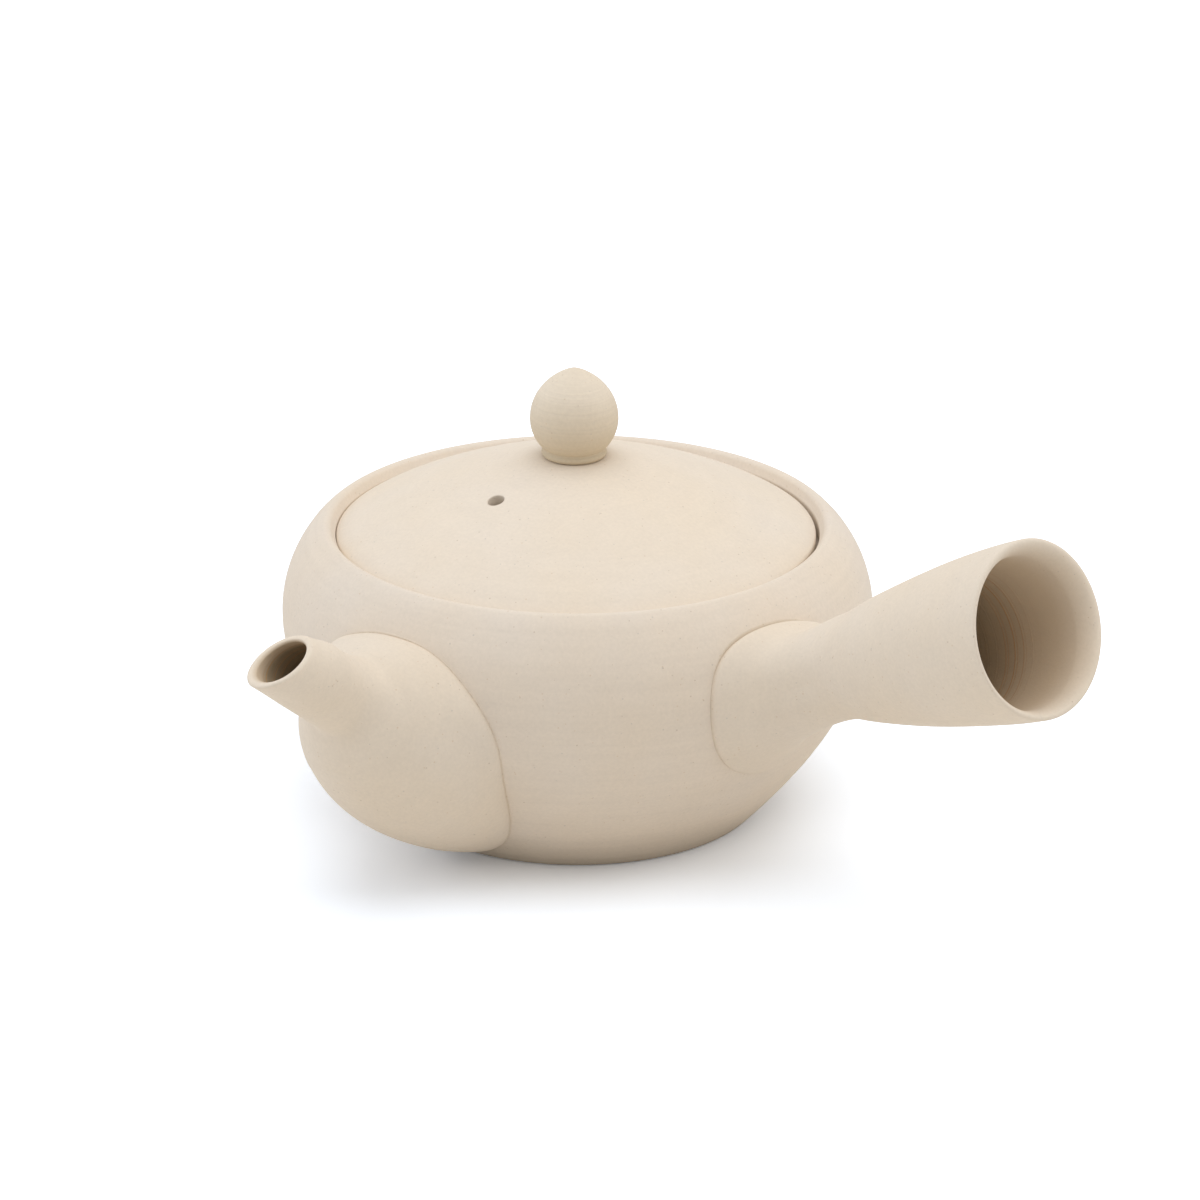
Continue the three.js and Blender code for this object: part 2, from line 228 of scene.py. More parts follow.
# %% Geometry trees
class GeometryGraph(Graph):
    """A Geometry Nodes tree that takes a mesh and named sizes, and gives a mesh."""

    def __init__(self, name, sizes):
        tree = bpy.data.node_groups.new(name, "GeometryNodeTree")
        super().__init__(tree)
        face = tree.interface
        face.new_socket("Geometry", in_out="INPUT", socket_type="NodeSocketGeometry")
        for label, kind in {**sizes, "Clay": "NodeSocketMaterial"}.items():
            face.new_socket(label, in_out="INPUT", socket_type=kind)
        face.new_socket("Geometry", in_out="OUTPUT", socket_type="NodeSocketGeometry")
        sockets = self.node("NodeGroupInput").socket.node.outputs
        self.inputs = {socket.name: Value(self, socket) for socket in sockets if socket.name}

    def finish(self, shape):
        """Ends the tree with a plain mesh in its clay."""
        plain = self.node("GeometryNodeRealizeInstances", None, {"Geometry": shape})
        inputs = {"Geometry": plain, "Material": self.inputs["Clay"]}
        dressed = self.node("GeometryNodeSetMaterial", None, inputs)
        self.end("NodeGroupOutput", dressed)
        return self.tree


def with_tree(piece, tree, values):
    """The piece put through a Geometry Nodes tree and turned into a plain mesh."""
    modifier = piece.modifiers.new(tree.name, "NODES")
    modifier.node_group = tree
    for item in tree.interface.items_tree:
        if item.in_out == "INPUT" and item.name in values:
            modifier[item.identifier] = values[item.name]
    return as_mesh(piece)


def as_mesh(piece):
    """The piece with what its modifiers make as its own mesh."""
    bpy.context.view_layer.update()
    view = bpy.context.evaluated_depsgraph_get()
    mesh = bpy.data.meshes.new_from_object(piece.evaluated_get(view))
    piece.modifiers.clear()
    piece.data = mesh
    return piece


print("geometry trees ready")

# %% [markdown]
# ## Plain pieces
# Every piece is an object at the origin whose place is in its mesh, as in the frame. Its shading is
# smooth, apart from edges that are really sharp, and its size is printed as soon as it is made.

# %% Pieces
def new_piece(name, vertices, faces, edges=()):
    """An object at the origin whose place is in its mesh."""
    mesh = bpy.data.meshes.new(name)
    mesh.from_pydata([tuple(v) for v in vertices], list(edges), list(faces))
    mesh.update()
    piece = bpy.data.objects.new(name, mesh)
    bpy.context.scene.collection.objects.link(piece)
    return piece


SHARP = 38  # degrees


def smooth(piece, angle=SHARP):
    """Smooth shading that still keeps edges sharper than the angle."""
    piece.data.shade_smooth()
    piece.data.set_sharp_from_angle(angle=math.radians(angle))
    return piece


def report(piece):
    """Prints a piece's size and count of faces."""
    co = np.array([v.co for v in piece.data.vertices]) / MM
    size = (co.max(0) - co.min(0)).round(1)
    print(piece.name, "faces", len(piece.data.polygons), "size in mm", size.tolist())


print("edges over", SHARP, "degrees stay sharp")

# %% [markdown]
# ## Masks and tints
# The pot is bare, fired clay. Its pattern could be painted, but noise that is worked out at every point
# has no seams and can be as fine as a grain of sand. Three small tools serve all of it: one turns a
# number into a mask, one makes a colour lighter or darker, and one reads a number stored on the mesh.

# %% Masks and tints
def span(value, low, high):
    """A value stretched so that it runs from 0 at the low end to 1 at the high end, and no further."""
    inputs = {"Value": value, "From Min": low, "From Max": high}
    return value.graph.node("ShaderNodeMapRange", {"clamp": True}, inputs)


def tinted(graph, colour, shade):
    """A colour made darker or lighter by a number round 1."""
    grey = graph.vector(shade, shade, shade)
    return graph.node("ShaderNodeVectorMath", {"operation": "MULTIPLY"}, {0: colour, 1: grey})


def stored(graph, name):
    """A number that is stored on the mesh, such as the length along its outline."""
    return graph.node("ShaderNodeAttribute", {"attribute_name": name}, None, out="Fac")


print("mask helpers ready")

# %% [markdown]
# ## Specks
# Tiny brown and grey specks come from the clay itself. A Voronoi texture cuts space into cells and gives
# each cell a number of its own, so a dot in only some of the cells makes specks spread at random.

# %% Specks
SPECK = 800.0  # cells to the metre
SPECK_SIZE, SPECK_SPREAD = 0.07, 0.11  # the smallest dot in cells, and how much larger others may be
SPECK_EDGE, SPECK_SHARE = 0.55, 0.4  # where a dot starts to fade, and how strong it is
SPECKS = (  # the colour, the place in the noise, and the limit that a cell's number has to pass
    ((0.42, 0.30, 0.20), 3.1, 0.86),
    ((0.62, 0.44, 0.27), 17.3, 0.70),
    ((0.48, 0.44, 0.39), 41.9, 0.78),
)


def speck(graph, place, seed, rare):
    """A mask of small dots. Only the cells whose own number is above the rare limit hold one."""
    moved = graph.node("ShaderNodeVectorMath", {"operation": "ADD"}, {0: place, 1: (seed, seed, seed)})
    cells = graph.node("ShaderNodeTexVoronoi", None, {"Vector": moved, "Scale": SPECK}, out="Distance")
    number = Value(graph, cells.socket.node.outputs["Color"])
    red, green, _ = graph.parts(number)
    size = SPECK_SIZE + green * SPECK_SPREAD
    dot = 1 - span(cells / size, SPECK_EDGE, 1.0)
    return dot * (red > rare) * SPECK_SHARE


print("kinds of specks:", len(SPECKS))

# %% [markdown]
# ## Inside a thrown tube
# Behind the lip the inside of a limb is painted darker and warmer, and further in it is painted dark:
# this is painted shade for the hollow of the tube. A thin brown line winds down it, where the potter's
# fingertip rose as the wheel turned. A spiral is the length along the tube plus the turn round it, and
# the mesh stores both, together with how far in each point is and how near it is to the seam at the
# foot, where the clay is made a little darker.

# %% The inside of a tube
# painted shade: the bore is painted darker and warmer from the lip inwards, and dark deeper in
LIP_SHADE, LIP_SHADE_SHARE, LIP_SHADE_DEPTH = (0.62, 0.48, 0.325, 1), 0.72, (0.0, 0.3)
BORE_SHADE, BORE_SHADE_SHARE, BORE_SHADE_DEPTH = (0.30, 0.23, 0.14, 1), 0.8, (0.55, 1.0)
RING, RING_SHARE, RING_DEPTH = (0.55, 0.32, 0.15, 1), 0.75, (0.42, 0.5)
RING_PITCH, RING_HEIGHT = 2.2, 0.5
RING_WOBBLE, WOBBLES = 0.2, 60.0  # in turns, and to the metre
RING_BREAKS, RING_SHOWN = 160.0, (0.44, 0.6)  # to the metre, and the noise in which the line comes up
SEAM, SEAM_SHARE = (0.40, 0.30, 0.18, 1), 0.3


def stripe(turns, start, full, fade, end):
    """A stripe that fades in from its start and out to its end, at shares of one turn."""
    return span(turns, start, full) * (1 - span(turns, fade, end))


def thrown_rings(graph, run, colour, height):
    """The inside of a thrown tube, with painted shade deeper in, its spiral lines and the seam at its foot.
    """
    inner = stored(graph, "inner")
    around = graph.parts(graph.node("ShaderNodeUVMap", {"uv_map": "wheel"}))[0]
    place = graph.node("ShaderNodeTexCoord", None, None, out="Object")
    wobble = graph.noise(place, WOBBLES, 2.0)
    line = (run / (RING_PITCH * MM) + around + wobble * RING_WOBBLE) % 1.0
    thin = stripe(line, 0.0, 0.05, 0.1, 0.18) + stripe(line, 0.3, 0.35, 0.38, 0.44) * 0.6
    some = span(graph.noise(graph.vector(0, 0, run), RING_BREAKS, 1.0), *RING_SHOWN)
    within = span(inner, *RING_DEPTH)
    # painted shade, which darkens the bore with its depth inside
    colour = graph.mix(span(inner, *LIP_SHADE_DEPTH) * LIP_SHADE_SHARE, colour, LIP_SHADE)
    colour = graph.mix(span(inner, *BORE_SHADE_DEPTH) * BORE_SHADE_SHARE, colour, BORE_SHADE)
    colour = graph.mix(thin * within * some * RING_SHARE, colour, RING)
    colour = graph.mix(stored(graph, "seam") * SEAM_SHARE, colour, SEAM)
    return colour, height + within * thin * RING_HEIGHT


print("a ring every", RING_PITCH, "mm")

# %% [markdown]
# ## Unglazed clay
# The clay has the colour of cream: dull, dry and a little sandy. Close up it has a fine grain, specks,
# and the faint lines that the potter's fingers leave as the wheel turns. The lines run round each part,
# so they follow a length that is stored on the mesh along its outline. A slow warm and cool mottling
# keeps it from looking like plastic, and low down a part may be painted darker: painted shade. Apart
# from that, the painted shade inside the tubes and the lid's paler tone, which is painted light, the
# colours are those of the clay in even light, because the lamps add the shade.

# %% The clay's material
GRAIN = 1500.0  # grains to the metre
LINES, LINE_CHANGES = 620.0, 22  # finger lines to the metre, and how often one changes on its way round
MOTTLE, CLOUD = 38.0, 190.0  # large and small patches to the metre
GRAIN_SHADE, LINE_SHADE, CLOUD_SHADE = 0.10, 0.12, 0.05
GRAIN_HEIGHT, LINE_HEIGHT, BUMP, BUMP_DEPTH = 0.35, 0.6, 0.5, 0.0001
ROUGH, ROUGH_CHANGE, SHEEN = 0.80, 0.10, 0.25


def clay(name, pale, warm, lines, rings=False, pitch=LINES, shaded_below=None):
    """A material of bare clay between a pale and a warm colour, which may be painted darker below a height,
    as painted shade.
    """
    material = bpy.data.materials.new(name)
    material.use_nodes = True
    material.node_tree.nodes.clear()
    graph = Graph(material.node_tree)
    place = graph.node("ShaderNodeTexCoord", None, None, out="Object")
    run = stored(graph, "run")
    x, y, z = graph.parts(place)

    mottle = graph.noise(place, MOTTLE, 3.0)
    cloud = graph.noise(place, CLOUD, 2.0)
    grain = graph.noise(place, GRAIN, 1.0)
    around = graph.vector(x * LINE_CHANGES, y * LINE_CHANGES, run * pitch)
    wheel = graph.noise(around, 1.0, 3.0, 0.6)
    colour = graph.mix(span(mottle, 0.3, 0.7), (*pale, 1), (*warm, 1))
    # painted shade: darker below a height, full at the low one and gone above the high one
    if shaded_below:
        low, high, tone = shaded_below
        colour = graph.mix(1 - span(z, low * MM, high * MM), colour, (*tone, 1))
    shade = 1 + (grain - 0.5) * GRAIN_SHADE + (wheel - 0.5) * LINE_SHADE * lines
    colour = tinted(graph, colour, shade + (cloud - 0.5) * CLOUD_SHADE)
    for tint, seed, share in SPECKS:
        colour = graph.mix(speck(graph, place, seed, share), colour, (*tint, 1))

    height = (wheel - 0.5) * LINE_HEIGHT * lines + (grain - 0.5) * GRAIN_HEIGHT
    if rings:
        colour, height = thrown_rings(graph, run, colour, height)
    inputs = {"Strength": BUMP, "Distance": BUMP_DEPTH, "Height": height}
    bump = graph.node("ShaderNodeBump", None, inputs)
    rough = ROUGH + (grain - 0.5) * ROUGH_CHANGE
    inputs = {"Base Color": colour, "Roughness": rough, "Normal": bump, "Specular IOR Level": SHEEN}
    graph.end("ShaderNodeOutputMaterial", graph.node("ShaderNodeBsdfPrincipled", None, inputs))
    return material


print("grains to the metre:", GRAIN)

# %% [markdown]
# ## Four tones of clay
# All pieces are of one clay, but their tones differ a little. The lid is paler: painted light for the
# top of the pot, where most light falls. The pot is painted darker round its foot and the knob below its
# middle: painted shade. Each tone is a pale and a warm colour, between which the mottling wanders.

# %% Mix the clays
BODY_PALE, BODY_WARM, BODY_FOOT_SHADE = (0.795, 0.705, 0.605), (0.805, 0.698, 0.575), (0.62, 0.535, 0.435)
LIMB_PALE, LIMB_WARM = (0.795, 0.702, 0.592), (0.805, 0.695, 0.562)
# the lid's tones are paler than the body's: painted light on the top of the pot
LID_PALE, LID_WARM = (0.812, 0.718, 0.608), (0.822, 0.712, 0.578)
KNOB_PALE, KNOB_WARM, KNOB_LOW_SHADE = (0.800, 0.705, 0.590), (0.790, 0.685, 0.545), (0.66, 0.55, 0.39)
KNOB_LINES = 1700.0
# painted shade round the pot's foot and on the lower half of the knob
body_foot_shade, knob_low_shade = (0, 10, BODY_FOOT_SHADE), (74, 87, KNOB_LOW_SHADE)  # full below, none above, in mm
body_clay = clay("Body clay", BODY_PALE, BODY_WARM, 0.7, shaded_below=body_foot_shade)
limb_clay = clay("Handle and spout clay", LIMB_PALE, LIMB_WARM, 0.35, rings=True)
lid_clay = clay("Lid clay", LID_PALE, LID_WARM, 0.4)
knob_clay = clay("Knob clay", KNOB_PALE, KNOB_WARM, 1.2, pitch=KNOB_LINES, shaded_below=knob_low_shade)
print("clays:", [m.name for m in (body_clay, limb_clay, lid_clay, knob_clay)])

# %% [markdown]
# ## The wheel
# The pot, the lid and the knob are all turned forms: one outline carried round an axis. A Screw
# modifier would do it, but a small Geometry Nodes tree does more. It lays out a grid, bends every
# column of it into the outline, closes the seam and the two poles, and then presses shallow finger
# lines into the wall. The outline's own length is stored along the way, for the clay's lines to follow.

# %% The tree that turns an outline
FLOAT = "NodeSocketFloat"
WHEEL_SIZES = {"Facets": "NodeSocketInt", "Line Depth": FLOAT, "Line Spacing": FLOAT}
WELD = 2e-6  # in metres, for the seam and the poles
FINGER_CHANGES = 12  # how often a finger line changes on its way round, to the metre
FINGER_HOLLOW = 0.85  # above most of the noise, so that the lines are hollows


def wheel_tree():
    graph = GeometryGraph("Turned on the wheel", WHEEL_SIZES)
    outline, facets = graph.inputs["Geometry"], graph.inputs["Facets"]
    count = graph.node("GeometryNodeAttributeDomainSize", {"component": "MESH"}, {"Geometry": outline})
    grid = graph.node("GeometryNodeMeshGrid", None, {"Vertices X": facets + 1, "Vertices Y": count})
    index = graph.node("GeometryNodeInputIndex")
    row = index % count
    column = (index - row) / count
    turn = column / facets * (2 * math.pi)

    def from_outline(kind, value):
        inputs = {"Geometry": outline, "Value": value, "Index": row}
        return graph.node("GeometryNodeSampleIndex", {"data_type": kind}, inputs)

    radius, _, height = graph.parts(from_outline("FLOAT_VECTOR", graph.node("GeometryNodeInputPosition")))
    place = graph.vector(radius * graph.of("COSINE", turn), radius * graph.of("SINE", turn), height)
    shape = graph.node("GeometryNodeSetPosition", None, {"Geometry": grid, "Position": place})
    for name in ("run", "pressed"):
        inputs = {"Geometry": shape, "Name": name}
        inputs["Value"] = from_outline("FLOAT", named_value(graph, name))
        shape = graph.node("GeometryNodeStoreNamedAttribute", None, inputs)
    shape = graph.node("GeometryNodeMergeByDistance", None, {"Geometry": shape, "Distance": WELD})
    shape = graph.node("GeometryNodeSetPosition", None, {"Geometry": shape, "Offset": finger_lines(graph)})
    return graph.finish(shape)


def named_value(graph, name):
    return graph.node("GeometryNodeInputNamedAttribute", {"data_type": "FLOAT"}, {"Name": name})


def finger_lines(graph):
    """Shallow lines round the wall, which change slowly as they go round."""
    x, y, _ = graph.parts(graph.node("GeometryNodeInputPosition"))
    run = named_value(graph, "run")
    turns = run / graph.inputs["Line Spacing"]
    lines = graph.noise(graph.vector(x * FINGER_CHANGES, y * FINGER_CHANGES, turns), 1.0, 1.0)
    depth = (lines - FINGER_HOLLOW) * graph.inputs["Line Depth"] * named_value(graph, "pressed")
    outward = graph.node("GeometryNodeInputNormal")
    return graph.node("ShaderNodeVectorMath", {"operation": "SCALE"}, {0: outward, "Scale": depth})


WHEEL = wheel_tree()
print("the wheel takes", sorted(WHEEL_SIZES))

# %% [markdown]
# ## An outline on the wheel
# The outline becomes a line of edges, with its length and the share of finger lines stored on each
# point. The lines fade out towards the axis and towards the foot, where no finger presses. A line can
# be walked either way, so the faces are turned to point out of the clay afterwards.

# %% Throw an outline
LINES_FADE = 4  # mm over which the finger lines begin


def turned(name, line, material, facets, depth, spacing, height=0.0, quiet=0.0):
    """A part turned from its outline. Lines stay out of the places lower than the quiet height."""
    points = [(p[0] * MM, 0, (p[1] + height) * MM) for p in line]
    piece = new_piece(name, points, [], [(k, k + 1) for k in range(len(points) - 1)])
    run = piece.data.attributes.new("run", "FLOAT", "POINT")
    run.data.foreach_set("value", lengths(line) * MM)
    pressed = piece.data.attributes.new("pressed", "FLOAT", "POINT")
    above = np.clip((line[:, 1] - quiet) / LINES_FADE, 0, 1)
    pressed.data.foreach_set("value", above * np.clip(line[:, 0] / LINES_FADE, 0, 1))
    sizes = {"Facets": facets, "Line Depth": depth * MM, "Line Spacing": spacing * MM, "Clay": material}
    return smooth(facing_out(with_tree(piece, WHEEL, sizes)))


def facing_out(piece):
    """Turns all faces round where they point into the clay."""
    mesh = piece.data
    mesh.calc_loop_triangles()
    co = np.array([v.co for v in mesh.vertices])
    tris = np.array([t.vertices for t in mesh.loop_triangles])
    a, b, c = co[tris[:, 0]], co[tris[:, 1]], co[tris[:, 2]]
    if np.einsum("ij,ij->i", a, np.cross(b, c)).sum() < 0:
        mesh.flip_normals()
    return piece


print("finger lines begin over", LINES_FADE, "mm")

# %% [markdown]
# ## The pot
# The pot is a flattened ball with a flat foot. Two Bezier curves draw its outside, one below and one
# above the belly, and they meet upright, so the belly has no kink. The line is used again later,
# because the handle and the spout have to end exactly on it.

# %% Draw the pot's outside
BASE, BELLY, BELLY_HEIGHT = 36.3, 59.0, 40.5
MOUTH, RIM, LIP = 48.7, 58.8, 1.4
SHOULDER_ANGLE, SHOULDER_REACH = 27, 1.8
FOOT_GUIDE = (45, 13.2)  # where the wall sets out from the foot, and how far it keeps on
BELOW_BELLY, ABOVE_BELLY = 15.2, 10.7  # how long the wall stays upright on both sides of the belly


def pot_outside():
    lip = (MOUTH + LIP, RIM - LIP)
    end = ahead(lip, 90 - SHOULDER_ANGLE, LIP)
    start, belly = (BASE, 0), (BELLY, BELLY_HEIGHT)
    low = curve(start, ahead(start, *FOOT_GUIDE), ahead(belly, -90, BELOW_BELLY), belly, 40)
    before_end = ahead(end, -SHOULDER_ANGLE, SHOULDER_REACH)
    high = curve(belly, ahead(belly, 90, ABOVE_BELLY), before_end, end, 30)
    return np.vstack([low, high[1:]])


outside = pot_outside()
print("the outside is", round(float(lengths(outside)[-1]), 1), "mm long")

# %% [markdown]
# ## Lip, ledge and inside
# The shoulder turns in to a wide mouth with a round lip, and a ledge inside the mouth carries the lid.
# The mouth narrows a little down to the ledge. Outside, lip and inside are one outline, so the pot
# could be turned in one go and the wall keeps an even thickness.

# %% Turn the pot
WALL, FLOOR, FLOOR_CURVE = 3.5, 4.0, 9.0
LEDGE, LEDGE_WIDTH, LEDGE_DEPTH, LEDGE_SLOPE = 53.0, 3.2, 2.4, 7.0
SEAT_RADIUS, SEAT_TOP = MOUTH - 0.6, RIM - 1.9
BASE_ROUND, BASE_END = 0.6, 0.8
POT_FACETS = 256
LINE_DEPTH, LINE_SPACING = 0.10, 3.2

inside = beside(outside, -WALL)
heights = inside[:, 1]
inside = inside[(heights < LEDGE - LEDGE_DEPTH - LEDGE_SLOPE) & (heights > FLOOR + FLOOR_CURVE)]
floor_start = inside[0]
floor_end = (floor_start[0] - 2 * FLOOR_CURVE, FLOOR)
ledge = MOUTH - LEDGE_WIDTH
pot_line = joined(
    (0, 0),
    corner((0, 0), (BASE, 0), outside[3], BASE_ROUND),
    outside[outside[:, 1] > BASE_END],
    arc((MOUTH + LIP, RIM - LIP), LIP, 90 - SHOULDER_ANGLE, 150),
    corner((MOUTH, RIM - LIP), (SEAT_RADIUS, SEAT_TOP), (SEAT_RADIUS, LEDGE), 0.4),
    corner((SEAT_RADIUS, SEAT_TOP), (SEAT_RADIUS, LEDGE), (ledge, LEDGE), 0.4),
    corner((SEAT_RADIUS, LEDGE), (ledge, LEDGE), (ledge, LEDGE - LEDGE_DEPTH), 0.7),
    corner((ledge, LEDGE), (ledge, LEDGE - LEDGE_DEPTH), inside[-1], 0.8),
    inside[::-1],
    curve(floor_start, ahead(floor_start, 225, 5), (floor_end[0] + 6, FLOOR), floor_end, 12),
    (0, FLOOR),
    spacing=1.1,
)
pot = turned("Pot", pot_line, body_clay, POT_FACETS, LINE_DEPTH, LINE_SPACING, quiet=2)
report(pot)

# %% [markdown]
# ## Where a limb stands
# The handle and the spout are thrown as straight tubes and then cut to fit the pot. Each has its own
# direction: +Z along the tube, +Y up its slope. The rules are written for whole arrays of points, so a
# limb of many thousand points is placed at once. The wall's place along the tube is found by halving
# an interval, as the wall has no formula.

# %% A limb's directions
HALVINGS = 24


def smoothstep(x, low, high):
    t = np.clip((x - low) / (high - low), 0, 1)
    return t * t * (3 - 2 * t)


def pot_radius(height):
    """The pot's outside radius at a height, and nothing above its lip."""
    radius = np.interp(height, outside[:, 1], outside[:, 0])
    return np.where(height > outside[-1, 1], 0, radius)


def limb_axes(limb):
    turn, rise = math.radians(limb["turn"]), math.radians(limb["rise"])
    along = Vector((math.cos(turn) * math.cos(rise), math.sin(turn) * math.cos(rise), math.sin(rise)))
    across = Vector((-math.sin(turn), math.cos(turn), 0))
    up = along.cross(across)
    origin = across * limb["sidestep"] + Vector((0, 0, limb["start"]))
    return [np.array(v) for v in (across, up, along, origin)]


def placed(limb, x, y, z):
    """Points in a limb's own directions as points of the pot."""
    across, up, along, origin = limb_axes(limb)
    return x[..., None] * across + y[..., None] * up + z[..., None] * along + origin


def depth_in_wall(points):
    """How far inside the pot's outside each point is, measured level."""
    return pot_radius(points[..., 2]) - np.hypot(points[..., 0], points[..., 1])


def wall_station(limb, x, y):
    """The place along a limb where a line beside its axis leaves the pot."""
    x, y = np.broadcast_arrays(np.asarray(x, float), np.asarray(y, float))
    low, high = np.zeros(x.shape), np.full(x.shape, limb["mouth"])
    for _ in range(HALVINGS):
        middle = (low + high) / 2
        within = depth_in_wall(placed(limb, x, y, middle)) > 0
        low, high = np.where(within, middle, low), np.where(within, high, middle)
    return low


print("pot radius 30 mm up:", round(float(pot_radius(30)), 2))

# %% [markdown]
# ## Pressed on the wall
# The foot is leant and squashed a little as it is pressed on, fingers leave shallow hollows and swellings
# round it, and the mouth is cut on the slant. A lattice or sculpting could do this by hand. As sums they
# can be told apart and changed one at a time. Each press is a soft bump: where it is on the turn and how
# wide, how high over the wall and how far it reaches, and the share by which the tube grows or shrinks.

# %% Press a limb on
def pressed(limb, x, y, z):
    """A tube's points after the potter's fingers have pushed it in or out at some places near its foot."""
    wall = wall_station(limb, 0, 0) if limb["follows"] else wall_station(limb, x, y)
    angle = np.degrees(np.arctan2(y, x))
    grown = 1
    for turn, width, height, reach, size in limb["presses"]:
        apart = (angle - turn + 180) % 360 - 180
        grown = grown + size * np.exp(-((apart / width) ** 2) - ((z - wall - height) / reach) ** 2)
    return x * grown, y * grown


def bent(limb, x, y, z):
    """A straight tube's points after its foot is leant and laid on the wall and its mouth is cut."""
    lean = 1 - smoothstep(z, *limb["lean"])
    x, y = pressed(limb, x, y, z)
    slant = smoothstep(z, limb["mouth"] - limb["slant_length"], limb["mouth"])
    foot_x, foot_y, squash = limb["foot"]
    across = x + lean * foot_x
    up = y * (1 + lean * (squash - 1)) + lean * foot_y
    slopes = [math.tan(math.radians(a)) for a in limb["slant"]]
    follow = 0
    if limb["follows"]:
        follow = lean * (wall_station(limb, across, up) - wall_station(limb, 0, 0))
    return across, up, z + follow + slant * (x * slopes[0] + y * slopes[1])


def limb_rings(limb, line, angles):
    """Every point of an outline at every angle round the tube, as points of the pot."""
    radius, station = line[:, 0][:, None], line[:, 1][:, None]
    x, y = radius * np.cos(angles), radius * np.sin(angles)
    return placed(limb, *bent(limb, x, y, np.broadcast_to(station, x.shape)))


print("rings follow the outline at every angle")

# %% [markdown]
# ## Down to the wall
# A straight tube would run through the pot's wall, and a Boolean would cut it with a ragged edge. Here
# each lengthwise line of the tube is cut where it meets the wall, and its points are spread again
# between the wall and the far end, closer together near the wall, where the form turns fastest.

# %% End a limb on the wall
NEAR_WALL = 1.4  # above 1, rings stand closer together near the wall
FINE = 0.25  # mm between the points that are tried


def from_wall(limb, line, angles, count, sink):
    """An outline's rings between the wall and its far end, evenly spread at every angle."""
    fine = joined(line, spacing=FINE)
    rings = limb_rings(limb, fine, angles)
    within = depth_in_wall(rings) > sink
    last = len(fine) - 1 - np.argmax(within[::-1], axis=0)
    last = np.where(within.any(axis=0), last, 0)
    spread = np.linspace(0, 1, count) ** NEAR_WALL
    at = last + (len(fine) - 1 - last) * spread[:, None]
    low = np.minimum(at.astype(int), len(fine) - 2)
    share = (at - low)[..., None]
    column = np.arange(len(angles))
    points = rings[low, column] * (1 - share) + rings[low + 1, column] * share
    return points, at / (len(fine) - 1) * lengths(fine)[-1]


print("points tried every", FINE, "mm")

# %% [markdown]
# ## The seam of slip
# A limb is stuck on with slip, a paste of the same clay. A little is squeezed out: a soft rim stands
# proud of the wall, a fine groove stays along the seam, and a thin skirt of slip lies on the wall round
# it. The potter smooths it over on most sides, so the seam is deep only round one middle angle.

# %% The seam round a foot
RIM_ROUND = 0.9  # mm over which the rim rises from the seam
SEAM_WIDTH, SEAM_CORE = 0.7, 0.1
SEAM_FADE = (0.45, 0.95)  # cosines of the angle from the seam's middle, where it starts and is deepest
SLIP = 0.95  # mm of slip on the wall where the seam is deepest
SKIRT = ((1, -0.1, 0), (0.8, 0.04, 0.7), (0.4, 0.07, 1))  # share of the slip, mm proud, darkness


def pot_normal(points):
    """The direction straight out of the pot's wall at the height of each point."""
    slope = np.gradient(outside[:, 0], outside[:, 1])
    rise = -np.interp(points[..., 2], outside[:, 1], slope)
    level = points[..., :2] / np.linalg.norm(points[..., :2], axis=-1, keepdims=True)
    normal = np.concatenate([level, rise[..., None]], axis=-1)
    return normal / np.linalg.norm(normal, axis=-1, keepdims=True)


def seam_depth(limb, angles):
    """How deep the seam is at each angle: most round its middle, and least where it was smoothed over."""
    middle, least, most = limb["seam"]
    apart = np.cos(angles - math.radians(middle))
    return least + (most - least) * smoothstep(apart, *SEAM_FADE)


def sideways(rings, middle):
    """The directions away from a middle that lie in the pot's wall."""
    out = pot_normal(rings)
    side = rings - middle
    side -= (side * out).sum(axis=-1, keepdims=True) * out
    return side / np.linalg.norm(side, axis=-1, keepdims=True)


def skirt(limb, foot, angles):
    """Thin rings of slip on the pot's wall round a foot, with the outer edge sunk in the wall."""
    width = SLIP * seam_depth(limb, angles)
    side = sideways(foot, foot.mean(axis=0))
    rings = []
    for share, proud, _ in SKIRT:
        at = foot + side * (width * share)[:, None]
        level = np.hypot(at[:, 0], at[:, 1])
        at[:, :2] *= ((pot_radius(at[:, 2]) + proud) / level)[:, None]
        rings.append(at)
    return np.stack(rings)


def rimmed(limb, rings, run, angles):
    """Rings with a soft rim that stands proud of the wall, over a fine groove along the seam."""
    size, groove, fade = limb["rim"]
    along = run - run[0]
    out = pot_normal(rings)
    side = sideways(rings, rings[0].mean(axis=0))
    near = np.clip(along / RIM_ROUND, 0, 1)
    bead = size * np.sqrt(1 - (1 - near) ** 2) * (1 - smoothstep(along, RIM_ROUND, fade))
    tuck = groove * (1 - near) ** 2 * seam_depth(limb, angles)
    return rings + out * bead[..., None] - side * tuck[..., None]


print("slip on the wall:", SLIP, "mm")

# %% [markdown]
# ## Sponged and not quite true
# A wet sponge evens out the place where the tube leaves its foot. Each point is moved towards the mean
# of its neighbours along the tube, over a width that is largest there, and only on the sides that the
# sponge reached. The mouth's hole isn't quite in the middle of its lip, as often on a thrown tube.

# %% Sponge a limb
SPONGE_LEAST, SPONGE_FADE = 0.01, 35  # mm, and degrees


